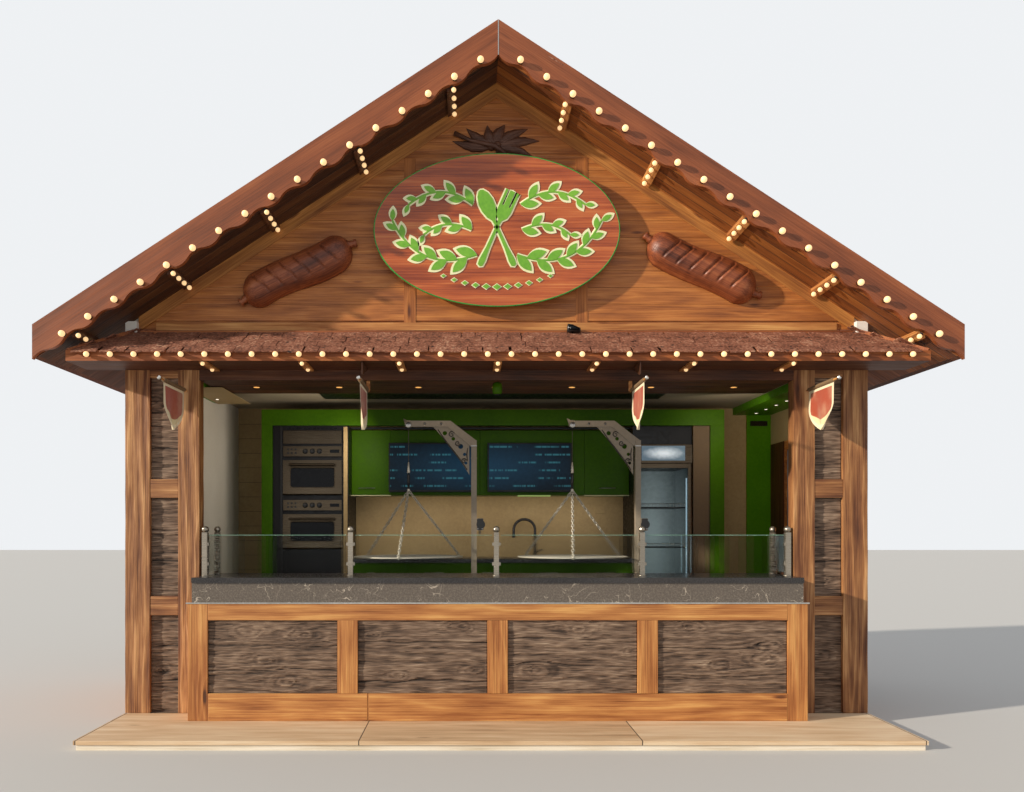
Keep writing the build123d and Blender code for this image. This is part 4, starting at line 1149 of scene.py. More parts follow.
# %% Rough-sawn panels
def rough_board(bm, low, high, cracks, seed, depth=0.014):
    """A board whose front is torn along its grain, which bends round a few knots."""
    hollow = bm.verts.layers.float.get("hollow") or bm.verts.layers.float.new("hollow")
    luck = random.Random(int(seed * 10) + 77)
    cell = 0.0115
    knots = [
        (luck.uniform(low[0], high[0]), luck.uniform(low[2], high[2]), luck.uniform(0.035, 0.08))
        for k in range(1 + int(3 * (high[0] - low[0])))
    ]
    nx = max(2, round((high[0] - low[0]) / cell))
    nz = max(2, round((high[2] - low[2]) / (0.55 * cell)))
    grid = []
    for j in range(nz + 1):
        z = low[2] + (high[2] - low[2]) * j / nz
        line = []
        for i in range(nx + 1):
            x = low[0] + (high[0] - low[0]) * i / nx
            bent, rings = z, 0.0
            for knot_x, knot_z, reach in knots:
                dx, dz = (x - knot_x) / (2.2 * reach), (z - knot_z) / reach
                near = exp(-dx * dx - dz * dz)
                bent -= reach * 0.9 * near * tanh(3.0 * dz)
                rings += near * sin(
                    14.0 * hypot(dx, dz) + 4.0 * noise.noise(Vector((x * 20.0, seed, z * 20.0)))
                )
            bent += 0.012 * noise.noise(Vector((x * 4.0, seed, z * 6.0)))
            furrow = noise.noise(Vector((x * 2.4, seed, bent * 34.0)))
            tear = noise.noise(Vector((x * 11.0, seed + 5.0, bent * 85.0)))
            deep = 0.4 + 0.5 * furrow + 0.45 * tear + 0.22 * rings
            for crack in cracks:
                away = abs(bent - crack - 0.012 * noise.noise(Vector((x * 5.0, crack, seed))))
                deep += 0.9 * max(0.0, 1.0 - away / 0.006)
            deep = max(0.0, min(1.6, deep))
            border = 0.4 if i in (0, nx) or j in (0, nz) else 1.0
            made = bm.verts.new((x, low[1] + depth * deep * border, z))
            made[hollow] = deep
            line.append(made)
        grid.append(line)
    for j in range(nz):
        for i in range(nx):
            bm.faces.new((grid[j][i], grid[j][i + 1], grid[j + 1][i + 1], grid[j + 1][i]))
    rim = grid[0][:-1] + [line[-1] for line in grid[:-1]] + grid[-1][:0:-1] + [
        line[0] for line in grid[:0:-1]
    ]
    back = [bm.verts.new((v.co.x, high[1], v.co.z)) for v in rim]
    for i in range(len(rim)):
        j = (i + 1) % len(rim)
        bm.faces.new((rim[j], rim[i], back[i], back[j]))
    bm.faces.new(back)


bm = bmesh.new()
for side in (-1, 1):
    x = sorted((side * (LIMIT + INNER), side * (LIMIT + INNER + PANEL)))
    for k, (low, high, cracks) in enumerate(
        ((0.07, 0.86, (0.33, 0.61)), (1.015, 1.81, (1.29, 1.55)), (1.96, 2.78, (2.21, 2.52)))
    ):
        rough_board(
            bm, (x[0], y_at(0.034), low), (x[1], y_at(0.065), high), cracks=cracks, seed=side * 3.0 + k
        )
piece("flank_rough", bm, [rough_wood], "hut", ("flank_panels",), smooth=True)

# %% Counter: frame boards, rough panels and the bright edge strip
CF = -0.294
bay = (2 * LIMIT - 2 * 0.155 - 3 * 0.158) / 4
lefts = [-LIMIT + 0.155 + i * (bay + 0.158) for i in range(4)]
RAIL_LOW, RAIL_HIGH = 0.283, 0.85
bm = bmesh.new()
for x in ((-LIMIT, -LIMIT + 0.155), (LIMIT - 0.155, LIMIT)):
    hewn(bm, (x[0], y_at(CF), DECK), (x[1], y_at(CF + 0.045), 0.98), 0, wander=0.0012)
for left in lefts[:-1]:
    hewn(
        bm, (left + bay, y_at(CF), RAIL_LOW), (left + bay + 0.158, y_at(CF + 0.045), RAIL_HIGH), 0,
        wander=0.0012
    )
inner = (-LIMIT + 0.155, LIMIT - 0.155)
hewn(bm, (inner[0], y_at(CF), RAIL_HIGH), (inner[1], y_at(CF + 0.045), 0.98), 1, wander=0.0012)
hewn(bm, (inner[0], y_at(CF), DECK), (-1.0055, y_at(CF + 0.045), RAIL_LOW), 1, wander=0.0012)
hewn(bm, (-1.0035, y_at(CF), DECK), (inner[1], y_at(CF + 0.045), RAIL_LOW), 1, wander=0.0012)
for side in (-1, 1):
    x = sorted((side * (LIMIT - 0.045), side * LIMIT))
    block(bm, (x[0], y_at(CF + 0.045), DECK), (x[1], y_at(0), 0.98), 2, 0.003)
piece("counter_boards", bm, [stile_wood, rail_wood, deep_wood], "hut", ("counter_frame",))

bm = bmesh.new()
splits = ((0.46, 0.66), (0.38, 0.68), (0.49, 0.71), (0.42, 0.63))
for k, left in enumerate(lefts):
    rough_board(
        bm, (left, y_at(CF + 0.016), RAIL_LOW), (left + bay, y_at(CF + 0.042), RAIL_HIGH),
        cracks=splits[k], seed=7.0 + 2.3 * k, depth=0.012,
    )
piece("counter_rough", bm, [rough_wood], "hut", ("counter_panels",), smooth=True)

bm = bmesh.new()
block(bm, (-LIMIT - 0.012, y_at(CF - 0.006), 0.978), (LIMIT + 0.012, y_at(CF + 0.02), 0.988), 0, 0.001)
piece("counter_edge_strip", bm, [bright_steel], "hut")

# %% Gable trim: rake boards, battens and the board along the foot
bm = bmesh.new()
low, high = 0.21, 0.31
foot = TOP + 0.07
for side in (-1, 1):
    reach = 2.89
    outline = [
        (0, roof_z(0, low)), (side * reach, roof_z(reach, low)), (side * reach, roof_z(reach, high)),
        (0, roof_z(0, high))
    ]
    outline = [(x, max(z, TOP)) for x, z in outline]
    plate(bm, outline, y_at(0), 0.02, 0)
for centre in (-0.70, 0.69):
    outer = roof_z(abs(centre) + 0.0475, low + 0.1)
    block(bm, (centre - 0.0475, y_at(0.002), foot), (centre + 0.0475, y_at(0.02), outer), 1, 0.002)
block(bm, (-2.75, y_at(0.001), TOP), (2.75, y_at(0.02), foot), 2, 0.003)
block(bm, (-2.86, y_at(-0.042), 3.112), (2.86, y_at(-0.002), 3.151), 3, 0.002)
piece(
    "gable_trim_boards", bm, [rake_wood, upright_wood, rail_wood, fascia_wood], "hut",
    ("gable_trim",)
)

# %% [markdown]
# ## Bulbs
# Rows of small warm bulbs outline the fascia, the barge boards and the soffits. Point lights would
# light the wood but show nothing, so each bulb is a glass globe that glows, in a dark holder. One
# tree makes a straight row from a start, a step and a count, and every row in the hut uses it.

# %% The bulb tree
bulb_tree, given = new_tree(
    "bulbs", Start=(0.0, 0.0, 0.0), Step=(
        0.18, 0.0, 0.0
    ), Way=(0.0, -1.0, 0.0), Count=10, Radius=0.025, Glass="", Holder=""
)
t = bulb_tree
globe = geo(t, "MeshUVSphere", {"Segments": 12, "Rings": 8, "Radius": given["Radius"]})
globe = coated(t, globe, given["Glass"], smooth=True)
deep = given["Radius"] * 1.1
cup = geo(
    t, "MeshCone",
    {
        "Vertices": 10, "Radius Top": given["Radius"] * 0.55, "Radius Bottom": given["Radius"] * 0.75,
        "Depth": deep
    }
)
cup = coated(t, cup, given["Holder"])
drop = xyz(t, z=given["Radius"] * -1.45)
cup = geo(t, "Transform", {"Geometry": cup, "Translation": drop})
both = join(t, cup, globe)
line = geo(
    t, "MeshLine", {"Count": given["Count"], "Start Location": given["Start"], "Offset": given["Step"]},
    mode="OFFSET"
)
turn = value_of(t, "FunctionNodeAlignRotationToVector", {"Vector": given["Way"]}, axis="Z")
close_tree(t, geo(t, "InstanceOnPoints", {"Points": line, "Instance": both, "Rotation": turn}))


def bulbs(start, step, count, way=(0.0, -1.0, 0.0), radius=0.0205):
    """A row of bulbs as a mesh."""
    return grow(
        bulb_tree, Start=start, Step=step, Way=way, Count=count, Radius=radius, Glass=bulb_glow,
        Holder=dark_case
    )


# %% Rows of bulbs
FRONT_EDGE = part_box("canopy_frame")
FASCIA = FRONT_EDGE[0][1]
CANOPY_UNDER = FRONT_EDGE[0][2]
rows = [bulbs((-3.1225, FASCIA - 0.044, CANOPY_UNDER + 0.042), (0.179, 0.0, 0.0), 36, radius=0.0215)]
BARGE = y_at(-0.45)
for side in (-1, 1):
    near = 0.165 if side > 0 else 0.135
    start = (side * near, BARGE - 0.044, roof_z(0.165) - 0.222 + (0.0 if side > 0 else 0.002))
    rows.append(bulbs(start, (side * 0.1966, 0.0, -0.1966 * tan(PITCH)), 17, radius=0.025))
SOFFIT = 0.21
strips = bmesh.new()
for side in (-1, 1):
    away = (-side * sin(PITCH), 0.0, -cos(PITCH))
    for place in (0.36, 1.07, 1.78, 2.49, 3.21) if side < 0 else (0.53, 1.21, 1.89, 2.57, 3.22):
        x, z = side * place + away[0] * 0.04, roof_z(place, SOFFIT) + away[2] * 0.04
        rows.append(bulbs((x, y_at(-0.42), z), (0.0, 0.128, 0.0), 4, way=away, radius=0.019))
        wide = 0.03
        outline = [
            (side * (place - wide), roof_z(place - wide, SOFFIT)),
            (side * (place + wide), roof_z(place + wide, SOFFIT))
        ]
        outline += [
            (side * (place + wide), roof_z(place + wide, SOFFIT + 0.02)),
            (side * (place - wide), roof_z(place - wide, SOFFIT + 0.02))
        ]
        # The battens on the left take the dark head wood and those on the right the orange wood: painted
        # shade on the left, painted light on the right.
        plate(strips, outline, y_at(-0.405), 0.42, 0 if side < 0 else 1)
for place in (-2.26, -1.5, -0.755, 0.0, 0.755, 1.5, 2.26):
    rows.append(
        bulbs(
            (place, y_at(-0.372), CANOPY_UNDER - 0.018), (0.0, 0.25, 0.0), 2, way=(0.0, 0.0, -1.0),
            radius=0.0165
        )
    )
    block(
        strips, (place - 0.03, y_at(-0.36), CANOPY_UNDER - 0.014), (place + 0.03, y_at(-0.02), CANOPY_UNDER),
        1
    )
place_piece("bulb_rows", gather(rows), (), "hut")
piece("bulb_battens", strips, [head_wood, deep_wood], "hut")

# %% Floodlight on the canopy and lantern under the head
bm = bmesh.new()
wedge = [(0.562, 3.136), (0.668, 3.132), (0.666, 3.158), (0.606, 3.186), (0.566, 3.192)]
plate(bm, wedge, y_at(-0.1), 0.055, 0)
plate(
    bm, [(0.614 + 0.82 * (x - 0.614), 3.158 + 0.78 * (z - 3.158)) for x, z in wedge], y_at(-0.102), 0.003, 1
)
turned(
    bm, [(0.012, 0.0), (0.036, -0.012), (0.041, -0.05), (0.038, -0.085), (0.03, -0.098)],
    (0.01, y_at(0.1), 2.76), "Z", 20, 2
)
turned(
    bm, [(0.005, -0.098), (0.026, -0.1), (0.026, -0.104), (0.005, -0.106)], (0.01, y_at(0.1), 2.76), "Z", 16,
    0
)
piece("small_lamps", bm, [black_enamel, oven_glass, grass_lacquer], "hut", smooth=True)

# %% Recessed lamps in the opening's head and the ceiling boxes
bm = bmesh.new()
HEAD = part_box("lintel")[0][2]
spots = [(x, 0.34, HEAD) for x in (-2.02, -1.32, -0.65, 0.0, 0.65, 1.32, 2.02)]
spots += [(2.73, depth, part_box("ceiling_boxes")[0][2]) for depth in (1.05, 1.32, 1.61, 1.9)]
spots.append((-2.53, 0.95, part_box("ceiling_boxes")[0][2]))
for x, depth, z in spots:
    boxed = depth > 0.5
    rim = 0.024 if boxed else 0.036
    turned(bm, [(rim, -0.003), (rim, 0.0), (rim - 0.006, 0.002)], (x, y_at(depth), z), "Z", 20, 0)
    turned(bm, [(rim - 0.01, -0.004), (rim - 0.01, -0.002)], (x, y_at(depth), z), "Z", 16, 2 if boxed else 1)
piece("spot_lamps", bm, [oven_steel, spot_glow, white_glow], "hut")

# %% [markdown]
# ## The oval sign
# The sign is a thick oval of glossy veneer with a thin green rim, raised off the gable on studs.
# Its lettering is left out. In its place are plain garlands of leaves round a crossed fork and
# spoon, in the same green with a cream outline. A garland is a curve with leaves at an even
# spacing, which a tree grows from three points; the outline is the same garland with larger leaves
# laid under it.

# %% The garland tree
leaf_tree, given = new_tree(
    "garland", Start=(0.0, 0.0, 0.0), Middle=(0.5, 0.0, 0.2), End=(1.0, 0.0, 0.0),
    Count=9, Length=0.2, Width=0.07, Splay=0.6, Shrink=0.4, Swell=0.0, Stem=0.012, Thickness=0.004, Finish="",
)
t = leaf_tree
curve = geo(
    t, "CurveQuadraticBezier",
    {"Resolution": 32, "Start": given["Start"], "Middle": given["Middle"], "End": given["End"]}
)
spaced = geo(t, "ResampleCurve", {"Curve": curve, "Count": given["Count"]})
number = geo(t, "InputIndex")
side = calc(t, "MODULO", number, 2.0) * 2.0 - 1.0
last = given["Count"] - 1.0
fall = 1.0 - given["Shrink"] * (number / last)
leaf = geo(t, "MeshCircle", {"Vertices": 20, "Radius": 1.0}, fill_type="NGON")
where = geo(t, "InputPosition")
around = axes_of(t, where)
x = around[0] * 0.5 + 0.5
y = around[1] * calc(t, "ABSOLUTE", around[1])
y = y * 0.5
shaped = xyz(t, x, y)
leaf = geo(t, "SetPosition", {"Geometry": leaf, "Position": shaped})
long = given["Length"] * fall + given["Swell"] * 2.6
wide = given["Width"] * fall + given["Swell"] * 2.2
size = xyz(t, long, wide, 1.0)
tangent = geo(t, "InputTangent")
turn = value_of(
    t, "FunctionNodeAxesToRotation", {0: (0.0, -1.0, 0.0), 1: tangent}, primary_axis="Z", secondary_axis="X"
)
tipped = xyz(t, z=side * given["Splay"])
tipped = value_of(t, "FunctionNodeEulerToRotation", {0: tipped})
turn = value_of(t, "FunctionNodeRotateRotation", {0: turn, 1: tipped}, rotation_space="LOCAL")
back = xyz(t, given["Swell"] * -1.3)
leaves = geo(t, "InstanceOnPoints", {"Points": spaced, "Instance": leaf, "Rotation": turn, "Scale": size})
leaves = geo(t, "TranslateInstances", {"Instances": leaves, "Translation": back})
leaves = geo(t, "RealizeInstances", {0: leaves})
leaves = geo(t, "ExtrudeMesh", {"Mesh": leaves, "Offset Scale": given["Thickness"], "Individual": False})
stem_radius = given["Stem"] + given["Swell"]
stem = geo(t, "ResampleCurve", {"Curve": curve, "Count": 20})
section = geo(t, "CurvePrimitiveCircle", {"Resolution": 8, "Radius": 1.0})
stem = geo(
    t, "CurveToMesh",
    {
        "Curve": stem,
        "Profile Curve": geo(
            t, "Transform", {"Geometry": section, "Scale": xyz(t, stem_radius, stem_radius, 1.0)}
        ),
        "Fill Caps": True
    }
)
flat = vector(t, "SUBTRACT", geo(t, "InputPosition"), given["Start"])
flat_y = axes_of(t, flat)[1]
squeeze = xyz(t, y=calc(t, "MINIMUM", flat_y, 0.0) * 0.2 - flat_y)
stem = geo(t, "SetPosition", {"Geometry": stem, "Offset": squeeze})
both = join(t, stem, leaves)
close_tree(t, coated(t, both, given["Finish"]))
print("garland tree nodes", len(t.nodes))

# %% The sign board
SIGN = (0.0, 3.936)
FACE = y_at(-0.11)
WIDE, HIGH = 0.98, 0.61


def oval(share):
    """Points of the sign's oval, drawn in by a length."""
    turns = [2 * pi * k / 96 for k in range(96)]
    return [((WIDE - share) * cos(a), SIGN[1] + (HIGH - share) * sin(a)) for a in turns]


bm = bmesh.new()
rings = []
for inset, depth in ((0.006, 0.03), (0.0, 0.025), (0.0, 0.006), (0.004, 0.0015), (0.012, 0.001)):
    rings.append([bm.verts.new((x, FACE + depth, z)) for x, z in oval(inset)])
skin(bm, rings)
for x in (-0.56, 0.56):
    turned(bm, [(0.02, 0.0), (0.02, 0.078)], (x, FACE + 0.03, SIGN[1]), "Y", 16, 1)
piece("sign_oval", bm, [sign_wood, steel], "hut", ("sign_board",))

bm = bmesh.new()
bar(bm, [(x, FACE + 0.0065, z) for x, z in oval(0.004)], 0.0065, 8, 0, closed=True)
piece("sign_rim", bm, [rim_green], "hut", smooth=True)


# %% Ornament on the sign
def garland(start, middle, end, count, swell, made, lift, length=0.17, width=0.075):
    """Leaves along a curve, given in the sign's own plane."""
    ends = [(x, FACE - lift, SIGN[1] + z) for x, z in (start, middle, end)]
    return grow(
        leaf_tree, Start=ends[0], Middle=ends[1], End=ends[2], Count=count, Length=length, Width=width,
        Splay=0.55, Shrink=0.45, Swell=swell, Stem=0.008, Thickness=0.003, Finish=made,
    )


def grown(outline, by):
    """An outline pushed outwards, with its points in order round it."""
    area = sum(a[0] * b[1] - b[0] * a[1] for a, b in zip(outline, outline[1:] + outline[:1]))
    sign = 1 if area > 0 else -1
    result = []
    for i, (x, z) in enumerate(outline):
        (ax, az), (bx, bz) = outline[i - 1], outline[(i + 1) % len(outline)]
        way = Vector((bx - ax, bz - az)).normalized()
        result.append((x + sign * way.y * by, z - sign * way.x * by))
    return result


def cutlery(kind):
    """Half outlines of a fork or a spoon, mirrored about its own length."""
    handle = [(0.0, -0.34), (0.02, -0.33), (0.024, -0.29), (0.014, -0.18), (0.01, 0.02)]
    if kind == "spoon":
        head = [
            (0.014, 0.06), (0.04, 0.1), (0.058, 0.16), (0.06, 0.22), (0.045, 0.28), (0.02, 0.315),
            (0.0, 0.322)
        ]
    else:
        head = [
            (0.016, 0.06), (0.044, 0.09), (0.056, 0.14), (0.056, 0.31), (0.038, 0.31), (0.036, 0.18),
            (0.022, 0.18), (0.02, 0.31), (0.0, 0.31)
        ]
    half = handle + head
    return [(x, z) for x, z in half] + [(-x, z) for x, z in half[::-1] if x]


parts = []
for side in (-1, 1):
    for layer, (swell, made, lift) in enumerate(((0.012, cream_paint, 0.0), (0.0, leaf_green, 0.0035))):
        parts.append(
            garland((side * 0.16, -0.2), (side * 0.62, -0.36), (side * 0.83, 0.07), 11, swell, made, lift)
        )
        parts.append(
            garland(
                (side * 0.19, 0.2), (side * 0.45, 0.4), (side * 0.7, 0.2), 8, swell, made, lift, 0.14, 0.062
            )
        )
        parts.append(
            garland(
                (side * 0.2, 0.0), (side * 0.42, 0.1), (side * 0.58, -0.04), 6, swell, made, lift, 0.13, 0.06
            )
        )
place_piece("sign_garlands", gather(parts), (), "hut")

bm = bmesh.new()
for kind, lean in (("fork", 0.42), ("spoon", -0.42)):
    for layer, (swell, lift) in enumerate(((0.012, 0.0045), (0.0, 0.008))):
        shape = grown(cutlery(kind), swell)
        turned_shape = [(x * cos(lean) + z * sin(lean), z * cos(lean) - x * sin(lean)) for x, z in shape]
        plate(bm, [(x, SIGN[1] + 0.02 + z) for x, z in turned_shape], FACE - lift, 0.0035, layer)
for layer, (swell, lift) in enumerate(((0.01, 0.003), (0.0, 0.0065))):
    for k in range(-5, 6):
        half = 0.032 - 0.003 * abs(k) + swell
        x, z = k * 0.085, SIGN[1] - 0.455 + 0.0035 * k * k
        plate(
            bm, [(x - half, z), (x, z - half * 0.7), (x + half, z), (x, z + half * 0.7)], FACE - lift, 0.003,
            layer
        )
piece("sign_cutlery", bm, [cream_paint, leaf_green], "hut")

# %% [markdown]
# ## Carved sausages and a sprig
# Beside the sign hang two carved wooden sausages with slanting cuts, tied at the ends, and over it
# a sprig of leaves. A swept tube is too even for carving. Each sausage is a fine grid wrapped round
# a bent line: its radius follows a rounded profile, knife cuts are pressed into its front, and the
# back is flat against the boards.

# %% Sausages
GABLE = y_at(0.006)


def sausage(bm, x0, z0, tilt, mirror):
    """One carved sausage in half relief."""
    core, radius, bend = 0.66, 0.146, 0.02 * mirror
    along = Vector((cos(tilt), 0, sin(tilt)))
    up = Vector((-sin(tilt), 0, cos(tilt)))
    total = core + 2 * radius
    rings = []
    steps, sides = 150, 40
    for i in range(steps + 1):
        u = -total / 2 + total * i / steps
        over = max(0.0, abs(u) - core / 2) / radius
        r = radius * sqrt(max(0.0015, 1.0 - over * over)) * (1.0 + 0.03 * sin(u * 7.0))
        sway = bend * sin(u / total * 2 * pi)
        ring = []
        for k in range(sides):
            a = 2 * pi * k / sides
            out, high = -cos(a), sin(a)
            cut = 0.0
            for c in range(6):
                centre = (c - 2.5) * 0.118 + 0.055 * high * mirror
                reach = 1.0 if -0.55 < high < 0.62 and out < 0.1 else 0.0
                cut += reach * exp(-(((u - centre) / 0.0085) ** 2)) * 0.020
                cut -= reach * exp(-(((u - centre - 0.017) / 0.011) ** 2)) * 0.006
            rough = 0.0022 * noise.noise(Vector((u * 22.0, a * 3.0, x0)))
            rr = max(0.002, r - cut + rough)
            spot = Vector((x0, GABLE, z0)) + along * u + up * (sway + rr * high)
            spot.y = min(GABLE, GABLE + rr * out)
            ring.append(bm.verts.new(spot))
        rings.append(ring)
    skin(bm, rings)
    for end in (-1, 1):
        root = Vector((x0, GABLE - 0.03, z0)) + along * (end * (total / 2 - 0.02))
        way = (along + up * 0.25 * end * mirror).normalized() * end
        points = [root + way * s for s in (0.0, 0.02, 0.03, 0.045, 0.062, 0.075)]
        bar(bm, points, [0.04, 0.026, 0.03, 0.022, 0.034, 0.028], 12, 0)


bm = bmesh.new()
sausage(bm, -1.603, 3.155 + 0.477, radians(27.5), -1)
sausage(bm, 1.652, 3.155 + 0.509, radians(-27.5), 1)


# %% Sprig
def carved_leaf(bm, root, turn, length, width):
    """A pointed leaf with a raised back, a sunk vein and a wavy edge."""
    along = Vector((cos(turn), 0, sin(turn)))
    up = Vector((-sin(turn), 0, cos(turn)))
    rings = []
    for i in range(17):
        u = i / 16
        half = width / 2 * sin(pi * u ** 0.8) * (1.0 + 0.07 * sin(u * 30))
        row = []
        for k in range(-4, 5):
            v = k / 4
            rise = 0.022 * sin(pi * min(1.0, u + 0.03)) * (1 - v * v)
            rise -= 0.012 * exp(-((v / 0.13) ** 2)) * sin(pi * u)
            spot = Vector(root) + along * length * u + up * (half * v + 0.02 * sin(u * 3.0))
            spot.y = GABLE - 0.006 - max(0.0, rise)
            row.append(bm.verts.new(spot))
        rings.append(row)
    for a, b in zip(rings, rings[1:]):
        for k in range(len(a) - 1):
            bm.faces.new((a[k], b[k], b[k + 1], a[k + 1])).material_index = 1
    rim = rings[0] + [r[-1] for r in rings[1:]] + rings[-1][-2::-1] + [r[0] for r in rings[-2:0:-1]]
    foot = [bm.verts.new((v.co.x, GABLE, v.co.z)) for v in rim]
    for i in range(len(rim)):
        j = (i + 1) % len(rim)
        bm.faces.new((rim[i], rim[j], foot[j], foot[i])).material_index = 1
    bm.faces.new(foot).material_index = 1


top_x, top_z = -0.01, 4.64
for turn, length, width, shift in (
    (0.14, 0.34, 0.085, 0.02), (0.5, 0.3, 0.09, 0.0), (1.15, 0.2, 0.1, 0.0), (1.9, 0.19, 0.09, 0.0),
    (2.55, 0.28, 0.09, 0.0), (2.98, 0.33, 0.085, -0.02), (-0.28, 0.3, 0.075, 0.02),
):
    carved_leaf(bm, (top_x + shift, GABLE, top_z), turn, length, width)
stem = [
    (top_x - 0.33, GABLE - 0.012, top_z + 0.11), (top_x - 0.2, GABLE - 0.02, top_z + 0.05),
    (top_x, GABLE - 0.026, top_z), (top_x + 0.12, GABLE - 0.02, top_z - 0.09)
]
bar(bm, stem, [0.02, 0.014, 0.022, 0.012], 10, 1)
for k, (dx, dz) in enumerate(((0.02, 0.02), (-0.03, 0.0), (0.03, -0.025))):
    turned(
        bm, [(0.008, -0.028), (0.026, -0.018), (0.03, 0.0), (0.03, 0.004)],
        (top_x + dx, GABLE - 0.004, top_z + dz), "Y", 12, 1
    )
piece("carvings", bm, [carved_wood, sprig_wood], "hut", ("gable_carvings",), smooth=True)

# %% [markdown]
# ## The kitchen inside
# The room behind the counter is mostly fitted panels, so the work is in the joints, edges and
# small things that catch light: door gaps, handles, knobs, glass, a lit head on the cold cabinet.
# Panels of one cabinet are separate blocks with softened edges, because a line drawn on a flat
# face shows no gap from the side. The screens show short broken lines of light, no letters.

# %% Lining of the room
BACK = y_at(2.07)
LEFT_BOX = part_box("ceiling_boxes")[0][2]
bm = bmesh.new()
block(bm, (-2.94, BACK - 0.006, DECK), (2.678, BACK, 2.82), 0, 0.001)
block(bm, (2.682, BACK - 0.012, DECK), (2.938, BACK, 2.75), 1, 0.002)
block(bm, (2.72, BACK - 0.014, 2.635), (2.9, BACK - 0.01, 2.69), 2, 0.002)
for k in range(9):
    block(bm, (2.725, BACK - 0.016, 2.639 + k * 0.0055), (2.895, BACK - 0.0135, 2.641 + k * 0.0055), 3)
block(bm, (-1.6, y_at(0.75), 2.802), (1.59, y_at(1.3), 2.82), 2, 0.004)
for low, high in ((0.12, 0.88), (1.68, 2.06)):
    block(bm, (2.934, y_at(low), 2.44), (2.94, y_at(high), 2.75), 0, 0.001)
block(bm, (2.934, y_at(0.88), 2.44), (2.94, y_at(1.68), 2.75), 0, 0.001)
block(bm, (2.931, y_at(1.684), DECK), (2.94, y_at(2.056), 2.44), 4, 0.001)
for k in range(1, 18):
    z = 0.07 + k * 0.152
    block(bm, (-2.62, BACK - 0.0075, z), (-2.28, BACK - 0.0055, z + 0.003), 2)
block(bm, (-2.61, y_at(0.3), LEFT_BOX - 0.0015), (-2.3, y_at(1.25), LEFT_BOX + 0.002), 0)
piece("room_lining", bm, [beige_panel, panel_green, dark_case, oven_steel, frame_wood], "hut")

# %% Ovens: control panels, knobs and glass
bm = bmesh.new()
OVEN_X, OVEN_Y = (-2.038, -1.462), y_at(1.47)
for low, high in ((1.738, 1.846), (2.266, 2.372)):
    z = (low + high) / 2
    block(
        bm, (OVEN_X[0] + 0.002, OVEN_Y - 0.003, low + 0.003),
        (OVEN_X[1] - 0.002, OVEN_Y + 0.002, high - 0.003), 0, 0.0015
    )
    for share in (0.09, 0.15, 0.215):
        x = OVEN_X[0] + 0.576 * share
        for dz in (-0.018, 0.018):
            block(
                bm, (x - 0.009, OVEN_Y - 0.006, z + dz - 0.009), (x + 0.009, OVEN_Y, z + dz + 0.009), 1, 0.002
            )
    for share in (0.38, 0.5, 0.62):
        x = OVEN_X[0] + 0.576 * share
        turned(
            bm, [(0.017, -0.024), (0.02, -0.02), (0.021, -0.006), (0.026, -0.004), (0.026, -0.002)],
            (x, OVEN_Y, z), "Y", 20, 1
        )
        block(bm, (x - 0.0025, OVEN_Y - 0.0255, z + 0.004), (x + 0.0025, OVEN_Y - 0.0235, z + 0.018), 0)
    block(
        bm, (OVEN_X[0] + 0.46, OVEN_Y - 0.0045, z - 0.016), (OVEN_X[0] + 0.55, OVEN_Y - 0.002, z + 0.016), 2,
        0.002
    )
low, high = 2.389, 2.525
block(
    bm, (OVEN_X[0] + 0.002, OVEN_Y - 0.003, low + 0.003), (OVEN_X[1] - 0.002, OVEN_Y + 0.002, high - 0.003),
    0, 0.003
)
block(bm, (OVEN_X[0] - 0.03, OVEN_Y + 0.006, 0.15), (OVEN_X[0] - 0.006, OVEN_Y + 0.022, 2.56), 1, 0.003)
block(bm, (-1.447, OVEN_Y + 0.002, 0.15), (-1.408, OVEN_Y + 0.022, 2.56), 3, 0.003)
for k in range(12):
    x = OVEN_X[0] + 0.04 + k * 0.0415
    block(bm, (x, OVEN_Y + 0.019, 2.538), (x + 0.028, OVEN_Y + 0.022, 2.552), 2, 0.001)
piece("oven_panels", bm, [oven_steel, black_enamel, oven_glass, beige_panel], "hut")

for word, low, high in (("lower", 1.362, 1.704), ("upper", 1.89, 2.232)):
    bm = bmesh.new()
    x, z = -1.75, (low + high) / 2
    face = y_at(1.4617)
    block(bm, (x - 0.2145, face + 0.0005, z - 0.0945), (x + 0.2145, face + 0.0035, z + 0.0945), 1, 0.001)
    ring = []
    for cx, cz, start in ((0.19, 0.07, 0), (-0.19, 0.07, 90), (-0.19, -0.07, 180), (0.19, -0.07, 270)):
        for k in range(7):
            a = radians(start + k * 15)
            ring.append((x + cx + 0.026 * cos(a), face, z + cz + 0.026 * sin(a)))
    bar(bm, ring, 0.0045, 8, 0, closed=True)
    for side in (-1, 1):
        outline = [(side * 0.284, 0.165), (side * 0.284, 0.05), (side * 0.235, 0.12), (side * 0.22, 0.165)]
        plate(bm, [(x + px, z + pz - 0.004) for px, pz in outline], face - 0.003, 0.003, 0)
    bar(bm, [(x - 0.22, face - 0.042, high - 0.048), (x + 0.22, face - 0.042, high - 0.048)], 0.0125, 14, 0)
    piece(f"{word}_oven_trim", bm, [oven_steel, oven_glass], f"{word}_oven_door")

# %% Wall cabinets, base cabinets and the strip lamps under them
def pull(bm, x, front, z, half):
    """A bow handle, this far to each side of x."""
    ends = ((-half, 0.012), (-half, 0.034), (half, 0.034), (half, 0.012))
    bar(bm, [(x + dx, front - dy, z) for dx, dy in ends], 0.004, 8, 1)


